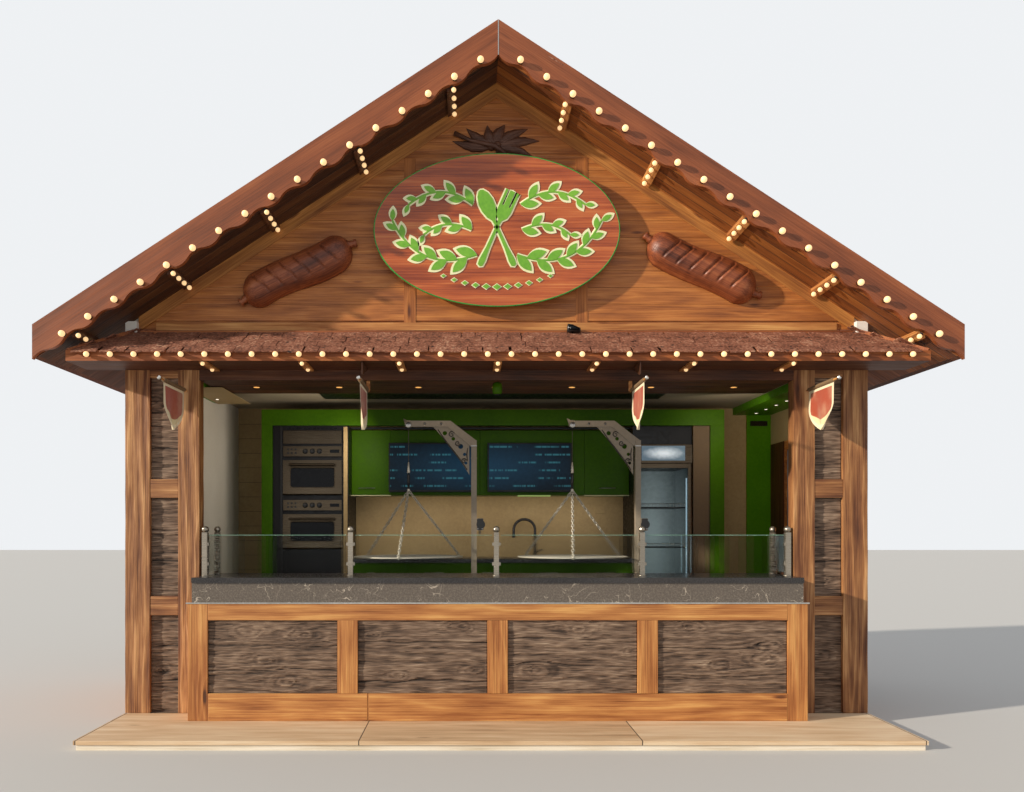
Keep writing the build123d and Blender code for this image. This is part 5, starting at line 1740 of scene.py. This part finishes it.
bm = bmesh.new()
front, top, foot = y_at(1.72), 2.55, 1.903
for low, high in ((-1.398, -1.007), (-1.003, -0.112), (-0.108, 0.938), (0.942, 1.388)):
    block(bm, (low, front - 0.012, foot), (high, front, top), 0, 0.0025)
for x in (-1.245, 1.17):
    pull(bm, x, front, 1.97, 0.08)
for low, high in ((-1.4, -1.004), (0.94, 1.39)):
    block(bm, (low, front - 0.012, 1.893), (high, front + 0.03, 1.9), 2, 0.001)
block(bm, (0.27, front - 0.008, 1.886), (0.6, front + 0.03, 1.9), 3, 0.002)
front = y_at(1.47)
edges = [-1.398, -0.84, -0.28, 0.28, 0.84, 1.388]
for low, high in zip(edges, edges[1:]):
    block(bm, (low + 0.0015, front - 0.012, 0.19), (high - 0.0015, front, 1.222), 0, 0.0025)
    x = (low + high) / 2
    pull(bm, x, front, 1.13, 0.09)
block(bm, (-1.398, front - 0.003, DECK), (1.388, front, 0.185), 4, 0.001)
piece("cabinet_fronts", bm, [grass_lacquer, steel, cream_paint, strip_glow, dark_case], "hut")

# %% Screens: dark cases round lit faces
bm = bmesh.new()
for x in (-0.601, 0.386):
    face = y_at(1.645)
    block(bm, (x - 0.42, face - 0.002, 1.93), (x + 0.42, face + 0.012, 2.42), 1, 0.004)
    block(bm, (x - 0.407, face - 0.003, 1.947), (x + 0.407, face, 2.407), 0, 0.0)
piece("screen_faces", bm, [screen_face, dark_case], "hut")

# %% Tap, small fittings on the backsplash, portal trim and the filler beside the cold cabinet
TAP_X = 0.463
bm = bmesh.new()
turned(
    bm, [(0.028, 0.0), (0.028, 0.008), (0.018, 0.014), (0.016, 0.05)], (TAP_X, y_at(1.96), 1.27), "Z", 20, 0
)
bar(
    bm, [(TAP_X, y_at(1.96), 1.31), (TAP_X + 0.037, y_at(1.94), 1.335), (TAP_X + 0.072, y_at(1.93), 1.35)],
    [0.008, 0.007, 0.006], 10, 0
)
turned(bm, [(0.0165, 0.0), (0.0165, 0.03)], (TAP_X - 0.22, y_at(1.96), 1.47), "Z", 16, 0)
block(bm, (1.09, BACK - 0.02, 1.72), (1.2, BACK - 0.004, 1.8), 1, 0.004)
block(bm, (1.975, y_at(1.485), DECK), (2.136, y_at(1.5), 2.571), 2, 0.002)
block(bm, (1.394, y_at(1.53), 2.393), (1.975, y_at(1.545), 2.571), 0, 0.001)
block(bm, (-1.395, y_at(1.62), 2.553), (1.39, y_at(1.64), 2.571), 0, 0.001)
piece("room_fittings", bm, [black_enamel, beige_panel, shaded_beige], "hut")

bm = bmesh.new()
for low, high in (
    ((-2.247, DECK), (-2.14, 2.571)), ((2.138, DECK), (2.275, 2.571)), ((-2.247, 2.571), (2.275, 2.727))
):
    block(bm, (low[0], y_at(1.4685), low[1]), (high[0], y_at(1.49), high[1]), 0, 0.002)
piece("portal_fronts", bm, [grass_lacquer], "hut")

# %% Cold cabinet: lit head, liner, racks, door frame, pane and handle
bm = bmesh.new()
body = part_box("fridge_body")
x0, x1 = body[0][0], body[1][0]
front = body[0][1]
inner0, inner1 = x0 + 0.04, x1 - 0.04
zlow, zhigh = 0.19, 2.16
rear = y_at(2.07 - 0.04)
block(bm, (inner0, rear - 0.003, zlow), (inner1, rear, zhigh), 0)
for x in (inner0, inner1 - 0.003):
    block(bm, (x, front + 0.004, zlow), (x + 0.003, rear - 0.003, zhigh), 0)
block(bm, (inner0 + 0.004, front + 0.01, zlow + 0.2), (inner0 + 0.012, front + 0.03, zhigh - 0.1), 1, 0.002)
block(bm, (inner1 - 0.012, front + 0.01, zlow + 0.2), (inner1 - 0.004, front + 0.03, zhigh - 0.1), 1, 0.002)
block(bm, (x0 + 0.002, front - 0.0385, 2.205), (x1 - 0.002, front + 0.01, 2.388), 2, 0.003)
block(bm, (x0 + 0.075, front - 0.0405, 2.228), (x1 - 0.075, front - 0.038, 2.372), 4, 0.004)
for number in range(1, 5):
    z = 0.19 + number * 0.394 + 0.012
    bar(
        bm, [(inner0 + 0.004, front + 0.055, z + 0.03), (inner1 - 0.004, front + 0.055, z + 0.03)], 0.0035, 6,
        3
    )
    for k in range(14):
        x = inner0 + 0.02 + k * (inner1 - inner0 - 0.04) / 13
        bar(bm, [(x, front + 0.055, z + 0.03), (x, front + 0.055, z)], 0.002, 6, 3)
piece("cold_liner", bm, [cold_liner_painted_glow, cool_glow, oven_steel, steel, head_glow], "hut")

bm = bmesh.new()
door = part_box("fridge_door")
z0, z1 = door[0][2], door[1][2]
y0, y1 = y_at(1.47), y_at(1.51)
radius = 0.02
block(bm, (x0, y0, z0), (x0 + 0.045, y1, z1), 0, 0.003)
turned(bm, [(radius, z0), (radius, z1)], (x1 - radius, (y0 + y1) / 2, 0), "Z", 24, 0)
block(bm, (x1 - 0.045, y0, z0), (x1 - radius, y1, z1), 0)
block(bm, (x0 + 0.045, y0, z0), (x1 - 0.045, y1, z0 + 0.045), 0, 0.003)
block(bm, (x0 + 0.045, y0, z1 - 0.045), (x1 - 0.045, y1, z1), 0, 0.003)
block(bm, (x0 + 0.046, (y0 + y1) / 2 - 0.003, z0 + 0.046), (x1 - 0.046, (y0 + y1) / 2 + 0.003, z1 - 0.046), 1)
grip = x0 + 0.029
middle = (z0 + z1) / 2
bar(
    bm,
    [
        (grip, y0, middle - 0.3), (grip, y0 - 0.03, middle - 0.3), (grip, y0 - 0.03, middle + 0.3),
        (grip, y0, middle + 0.3)
    ],
    0.008, 12, 2
)
piece("cold_door", bm, [oven_steel, clear_glass, steel], "fridge_door", ("fridge_door",))

# %% [markdown]
# ## Glass guard, pennants and their rods
# The guard's top edge shows green where the glass is cut. The pennants are cloth shields on turned
# rods: each is one sheet cut as a shield, hung by its top edge, with slow folds that grow towards
# the foot. Their print is a plain border and two fields of colour; no lettering is put on them.

# %% Guard details
bm = bmesh.new()


def panes(name):
    """Low and high corners of each separate solid in a node."""
    work = bmesh.new()
    work.from_mesh(nodes[name].data)
    bmesh.ops.remove_doubles(work, verts=work.verts, dist=1e-5)
    left, found = set(work.verts), []
    while left:
        group, wave = set(), {left.pop()}
        while wave:
            group |= wave
            wave = {e.other_vert(v) for v in wave for e in v.link_edges} - group
        left -= group
        found.append(tuple(Vector(f(v.co[i] for v in group) for i in range(3)) for f in (min, max)))
    work.free()
    return found


for low, high in panes("guard_glass"):
    block(
        bm, (low.x + 0.001, low.y + 0.0005, high.z - 0.004),
        (high.x - 0.001, high.y - 0.0005, high.z - 0.0002), 0
    )
for low, high in panes("guard_posts"):
    x, y = (low.x + high.x) / 2, (low.y + high.y) / 2
    turned(bm, [(0.034, 0.0), (0.034, 0.004), (0.026, 0.007)], (x, y, low.z), "Z", 24, 1)
    turned(
        bm,
        [
            (0.0, -0.0275), (0.012, -0.0247), (0.021, -0.0178), (0.0262, -0.0082), (0.0275, 0.0),
            (0.0262, 0.0082), (0.021, 0.0178), (0.012, 0.0247), (0.0, 0.0275)
        ],
        (x, y, high.z - 0.027), "Z", 24, 1
    )
    turned(
        bm, [(0.013, -0.012), (0.0225, -0.01), (0.0225, -0.006), (0.013, -0.004)], (x, y, high.z - 0.05), "Z",
        20, 1
    )
    block(bm, (x - 0.0205, y - 0.0205, low.z + 0.004), (x + 0.0205, y + 0.0205, high.z - 0.054), 1, 0.002)
piece("guard_fittings", bm, [glass_edge, satin_steel], "hut")

# %% Pennant cloth
EDGE, FIELD, FOOT = "efe0bd", "a8431f", "e8d5a4"


def printed(name):
    """Cloth with a fine weave, a pale border and two fields of colour."""
    made, tree, shader = finish(name, 0.85)
    place = value_of(tree, "ShaderNodeTexCoord", take="Object")
    weave = value_of(tree, "ShaderNodeTexWave", {0: place, "Scale": 330.0}, bands_direction="Y")
    weft = value_of(tree, "ShaderNodeTexWave", {0: place, "Scale": 330.0}, bands_direction="Z")
    thread = weave * 0.5 + weft * 0.5
    inside = value_of(tree, "ShaderNodeAttribute", attribute_name="inside", take="Fac")
    lower = value_of(tree, "ShaderNodeAttribute", attribute_name="lower", take="Fac")
    colour = mix(tree, spread(tree, lower, 0.49, 0.51), FIELD, FOOT)
    colour = mix(tree, spread(tree, inside, 0.165, 0.18), EDGE, colour)
    faded = clouds(tree, place, 5.0, 3.0)
    colour = mix(tree, spread(tree, faded, 0.45, 0.8, 0.0, 0.35), colour, "e2cda6")
    fill(shader, "Base Color", colour)
    surface_of(tree, shader, thread, 0.25, 0.0006)
    fill(shader, "Sheen Weight", 0.25)
    return made


pennant_print = printed("pennant_print")
CLOTH_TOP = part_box("pennants")[1][2]
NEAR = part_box("pennants")[0][1]
PENNANT_X = (-2.51, -1.04, 1.09, 2.51)
CLOTH_HALF, CLOTH_LONG = 0.235, 0.34


def shield_width(down):
    """Half width of the shield at a distance below its top, as a share of its half."""
    if down <= 0.16:
        return 1.0
    t = min(1.0, (down - 0.16) / 0.18)
    return max(0.0, 1.0 - t ** 1.55) ** 0.85


for number, x in enumerate(PENNANT_X):
    bm = bmesh.new()
    inside = bm.verts.layers.float.new("inside")
    lower = bm.verts.layers.float.new("lower")
    rows = []
    for i in range(35):
        down = CLOTH_LONG * i / 34
        half = CLOTH_HALF * max(0.012, shield_width(down))
        row = []
        for k in range(-22, 23):
            v = k / 22
            y = NEAR + CLOTH_HALF + half * v
            sway = 0.011 * (down / CLOTH_LONG) ** 1.3 * sin(v * 6.0 + number * 1.7)
            sway += 0.005 * sin(y * 21 + number) * down / CLOTH_LONG
            vert = bm.verts.new((x + sway, y, CLOTH_TOP - down))
            side_gap = half * (1 - abs(v)) / CLOTH_HALF
            vert[inside] = min(
                side_gap * 1.15, down / CLOTH_HALF * 1.4, max(0.0, (CLOTH_LONG - down) / CLOTH_HALF)
            )
            vert[lower] = 0.5 + (down - 0.215 - 0.045 * cos(v * 2.2)) * 8
            row.append(vert)
        rows.append(row)
    for a, b in zip(rows, rows[1:]):
        for k in range(len(a) - 1):
            bm.faces.new((a[k], a[k + 1], b[k + 1], b[k]))
    area = sum(f.calc_area() for f in bm.faces)
    cloth = piece(
        f"pennant_{number + 1}", bm, [pennant_print], "hut",
        ("pennants",) if number == 0 else (), smooth=True
    )

bm = bmesh.new()
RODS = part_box("pennant_rods")
rod_z = CLOTH_TOP + 0.008
for x in PENNANT_X:
    for y in (NEAR + 0.02, NEAR + CLOTH_HALF, NEAR + 0.45):
        turned(
            bm, [(0.0095, -0.012), (0.0105, -0.01), (0.0105, 0.01), (0.0095, 0.012)], (x, y, rod_z), "Y", 14,
            0
        )
    turned(
        bm, [(0.006, -0.016), (0.0145, -0.008), (0.0155, 0.0), (0.0145, 0.008), (0.006, 0.016)],
        (x, RODS[0][1] + 0.015, rod_z), "Y", 16, 1
    )
    turned(
        bm, [(0.0125, 0.0), (0.0165, 0.002), (0.0165, 0.468), (0.0125, 0.47)], (x, NEAR, rod_z), "Y", 14, 3
    )
    if abs(x) > 2:
        continue
    hanger = [
        (y_at(-0.375), CANOPY_UNDER - 0.1), (y_at(-0.375), CANOPY_UNDER), (y_at(-0.03), CANOPY_UNDER),
        (y_at(-0.345), CANOPY_UNDER - 0.1)
    ]
    ring = [bm.verts.new((x - 0.003, y, z)) for y, z in hanger]
    back = [bm.verts.new((x + 0.003, y, z)) for y, z in hanger]
    for f in [bm.faces.new(ring), bm.faces.new(back[::-1])] + [
        bm.faces.new((ring[i - 1], ring[i], back[i], back[i - 1])) for i in range(4)
    ]:
        f.material_index = 2
piece("pennant_fittings", bm, [cream_paint, bright_steel, frame_wood, roller_cloth], "hut")

# %% [markdown]
# ## Grill cranes
# Each grill hangs from a swivelling arm. The arm, its gusset and its post keep their solid shapes;
# what they lack is the ironwork: a relief scroll on the gusset, a bright tip with a wheel, bolts, a
# wire with a stretching screw, a hook and three link chains. A chain is one link shape placed many
# times with a quarter turn between neighbours, so a tree grows it between two points.

# %% The chain tree
chain_tree, given = new_tree(
    "chain", Start=(0.0, 0.0, 0.0), End=(
        0.0, 0.0, -1.0
    ), Count=20, Length=0.04, Width=0.022, Wire=0.0042, Finish=""
)
t = chain_tree
ring = geo(t, "CurvePrimitiveCircle", {"Resolution": 12, "Radius": 1.0})
half_long = given["Length"] * 0.5
half_wide = given["Width"] * 0.5
oval_size = xyz(t, half_wide, half_long, 1.0)
ring = geo(t, "Transform", {"Geometry": ring, "Scale": oval_size, "Rotation": (pi / 2, 0.0, 0.0)})
section = geo(t, "CurvePrimitiveCircle", {"Resolution": 5, "Radius": given["Wire"]})
link = geo(t, "CurveToMesh", {"Curve": ring, "Profile Curve": section})
path_line = geo(
    t, "MeshLine", {"Count": given["Count"], "Start Location": given["Start"], "Offset": given["End"]},
    mode="END_POINTS"
)
number = geo(t, "InputIndex")
run = vector(t, "SUBTRACT", given["End"], given["Start"])
turn = value_of(t, "FunctionNodeAlignRotationToVector", {"Vector": run}, axis="Z")
quarter = xyz(t, z=calc(t, "MODULO", number, 2.0) * (pi / 2))
quarter = value_of(t, "FunctionNodeEulerToRotation", {0: quarter})
turn = value_of(t, "FunctionNodeRotateRotation", {0: turn, 1: quarter}, rotation_space="LOCAL")
close_tree(
    t,
    coated(
        t, geo(t, "InstanceOnPoints", {"Points": path_line, "Instance": link, "Rotation": turn}),
        given["Finish"], smooth=True
    )
)

# %% Arms, winches, hooks and grills
CRANE_Y = y_at(0.95)
APEX, GRATE = 1.915, 1.305


def scroll(bm, centre, size, turn, mirror=1):
    """A tapering spiral of half-round bar."""
    points, radii = [], []
    for k in range(34):
        a = 1.35 * 2 * pi * k / 33
        r = size * (1 - 0.82 * k / 33)
        points.append((centre[0] + mirror * r * cos(a + turn), centre[1], centre[2] + r * sin(a + turn)))
        radii.append(0.0062 * (1 - 0.45 * k / 33))
    bar(bm, points, radii)


for word, x in (("left", -0.175), ("right", 1.327)):
    bm = bmesh.new()
    for face in (-1, 1):
        y = CRANE_Y + face * 0.005
        scroll(bm, (x - 0.205, y, 2.425), 0.03, 0.4)
        scroll(bm, (x - 0.15, y, 2.345), 0.026, 3.4, -1)
        scroll(bm, (x - 0.093, y, 2.182), 0.024, 0.2)
        bar(
            bm,
            [
                (x - 0.33, y, 2.47), (x - 0.27, y, 2.38), (x - 0.2, y, 2.29), (x - 0.12, y, 2.185),
                (x - 0.062, y, 2.1)
            ],
            [0.004, 0.006, 0.0065, 0.006, 0.004], 8, 0
        )
        bar(bm, [(x - 0.058, y, 2.3), (x - 0.066, y, 2.24), (x - 0.06, y, 2.18)], [0.003, 0.006, 0.003], 8, 0)
    for across in (0.3, 0.45):
        turned(
            bm, [(0.012, -0.019), (0.012, -0.015), (0.012, 0.015), (0.012, 0.019)],
            (x - across, CRANE_Y, 2.5225), "Y", 6, 1
        )
    tip = x - 0.6275
    beak = [
        (tip - 0.02, 2.572), (tip - 0.003, 2.509), (tip + 0.03, 2.494), (tip + 0.045, 2.5525),
        (tip + 0.008, 2.556)
    ]
    plate(bm, beak[::-1], CRANE_Y - 0.018, 0.036, 2)
    turned(bm, [(0.024, -0.021), (0.026, -0.0195), (0.02, -0.0175)], (x - 0.6, CRANE_Y, 2.512), "Y", 24, 1)
    block(bm, (x - 0.027, CRANE_Y - 0.027, 2.313), (x + 0.027, CRANE_Y + 0.027, 2.325), 1, 0.002)
    piece(
        f"{word}_arm_ironwork", bm, [dark_taupe, steel, taupe], f"{word}_crane", smooth=True
    )

    bm = bmesh.new()
    block(bm, (x + 0.0245, CRANE_Y - 0.046, 1.544), (x + 0.0865, CRANE_Y + 0.046, 1.656), 0, 0.008)
    turned(
        bm, [(0.04, -0.047), (0.04, -0.03), (0.026, -0.028), (0.026, 0.028), (0.04, 0.03), (0.04, 0.047)],
        (x + 0.062, CRANE_Y, 1.6), "Y", 24, 0
    )
    for dx in (0.035, 0.075):
        turned(bm, [(0.006, -0.05), (0.006, -0.046)], (x + dx, CRANE_Y, 1.56), "Y", 6, 1)
    for z in (0.62, 1.2, 2.2):
        block(bm, (x - 0.027, CRANE_Y - 0.027, z), (x + 0.027, CRANE_Y + 0.027, z + 0.02), 2, 0.003)
    for dx in (-0.085, 0.085):
        for dy in (-0.085, 0.085):
            turned(bm, [(0.011, 0.082), (0.011, 0.09), (0.006, 0.094)], (x + dx, CRANE_Y + dy, 0), "Z", 6, 1)
    piece(f"{word}_winch_parts", bm, [black_enamel, steel, taupe], "hut")

    hang = x - 0.6
    bm = bmesh.new()
    low, high = (corner[2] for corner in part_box(f"{word}_hoist_wire"))
    bar(bm, [(hang, CRANE_Y, high + (low - high) * k / 30) for k in range(31)], 0.003, 10)
    line = piece(
        f"{word}_hoist_line", bm, [rope_wire], None, (f"{word}_hoist_wire",), smooth=True
    )
    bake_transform(line)

    bm = bmesh.new()
    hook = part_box(f"{word}_hook")
    low, high = hook[0][2], hook[1][2]
    profile = [
        (0.004, low + 0.001), (0.009, low + 0.002), (0.0128, low + 0.008), (0.0128, low + 0.012),
        (0.009, low + 0.015), (0.009, high - 0.012), (0.0128, high - 0.009), (0.0128, high - 0.003),
        (0.005, high)
    ]
    turned(bm, profile, (hang, CRANE_Y, 0), "Z", 20, 0)
    screw = [
        (0.006, high + 0.002), (0.011, high + 0.012), (0.0125, high + 0.05), (0.0125, high + 0.09),
        (0.008, high + 0.1)
    ]
    turned(bm, screw, (hang, CRANE_Y, 0), "Z", 16, 0)
    turned(
        bm, [(0.012, high + 0.104), (0.015, high + 0.11), (0.011, high + 0.15), (0.005, high + 0.205)],
        (hang, CRANE_Y, 0), "Z", 16, 1
    )
    piece(
        f"{word}_swivel_hook", bm, [black_enamel, wire], f"{word}_hook", (f"{word}_hook",),
        smooth=True
    )

    parts = []
    bm = bmesh.new()
    ring_radius = 0.494
    turned(
        bm, [(0.0045, -0.013), (0.0128, -0.009), (0.0128, 0.009), (0.0045, 0.013)], (hang, CRANE_Y, APEX),
        "Z", 20, 0
    )
    for number in range(3):
        a = radians(24 + number * 120)
        way = Vector((cos(a), sin(a), 0))
        foot = Vector((hang, CRANE_Y, GRATE + 0.022)) + way * ring_radius
        head = Vector((hang, CRANE_Y, APEX - 0.022)) + way * 0.016
        parts.append(grow(chain_tree, Start=tuple(head), End=tuple(foot), Count=27, Finish=wire))
        bar(
            bm,
            [
                foot + Vector((0, 0, 0.008)) - way * 0.004, foot + way * 0.012, foot - Vector((0, 0, 0.034)),
                foot - way * 0.013
            ],
            0.0032, 6, 0, closed=True
        )
    circle = [
        (
            hang + ring_radius * cos(radians(k * 3)), CRANE_Y + ring_radius * sin(radians(k * 3)), GRATE
        ) for k in range(120)
    ]
    bar(bm, circle, 0.006, 8, 0, closed=True)
    step = 2 * ring_radius / 34
    for k in range(1, 34):
        offset = -ring_radius + k * step
        reach = sqrt(ring_radius ** 2 - offset ** 2)
        bar(
            bm, [(hang - reach, CRANE_Y + offset, GRATE), (hang + reach, CRANE_Y + offset, GRATE)], 0.003, 6,
            0
        )
    for offset in (-0.2, 0.2):
        reach = sqrt(ring_radius ** 2 - offset ** 2)
        bar(
            bm,
            [
                (hang + offset, CRANE_Y - reach, GRATE - 0.004),
                (hang + offset, CRANE_Y + reach, GRATE - 0.004)
            ],
            0.0045, 6, 0
        )
    grate = as_mesh("grate", bm, wire)
    place_piece(
        f"{word}_grill_chains", gather([grate, *parts]), (), f"{word}_grill", (f"{word}_grill",)
    )

# %% [markdown]
# ## Trim outside
# The last things are small but seen from all round: white-painted beam ends under the eaves, a
# metal joint strip where the barge boards meet, feet under the posts, the frame and hinges of the
# service door, and a worn white edge under the deck.

# %% Outside trim
bm = bmesh.new()
for side in (-1, 1):
    x = sorted((side * 2.888, side * 2.98))
    block(bm, (x[0], y_at(-0.045), 3.1), (x[1], y_at(0.02), 3.225), 0, 0.002)
block(
    bm, (-0.0035, y_at(-0.4515), roof_z(0, 0.0) - 0.27), (0.0035, y_at(-0.4485), roof_z(0, 0.0) - 0.006), 1,
    0.0005
)
for side in (-1, 1):
    for x in (HALF_HUT - OUTER / 2, HALF_HUT - OUTER - PANEL - INNER / 2):
        block(bm, (side * x - 0.05, y_at(0.012), DECK), (side * x + 0.05, y_at(0.108), 0.076), 2, 0.001)
# A thin dark strip along the foot of the gable, over the canopy's top: a painted shadow line.
block(bm, (-2.75, y_at(-0.0035), 3.153), (2.75, y_at(0.001), 3.161), 2, 0.001)
piece("outside_trim", bm, [beam_white, steel, dark_case], "hut")

bm = bmesh.new()
x = HALF_HUT
for low, high, z0, z1 in ((0.79, 0.874, DECK, 2.43), (1.686, 1.77, DECK, 2.43), (0.79, 1.77, 2.356, 2.44)):
    block(bm, (x, y_at(low), z0), (x + 0.014, y_at(high), z1), 0, 0.003)
piece("door_casing", bm, [head_wood], "hut")

bm = bmesh.new()
for low, high in ((0.14, 0.98), (1.06, 1.62), (1.7, 2.26)):
    block(bm, (x, y_at(0.97), low), (x + 0.004, y_at(1.58), high), 0, 0.0035)
    block(bm, (x - 0.044, y_at(0.97), low), (x - 0.04, y_at(1.58), high), 0, 0.0035)
turned(
    bm, [(0.013, 0.0), (0.013, 0.008), (0.008, 0.01), (0.008, 0.02)], (x + 0.004, y_at(0.956), 1.06), "X", 18,
    1
)
piece("door_panels", bm, [door_paint, steel], "side_door")
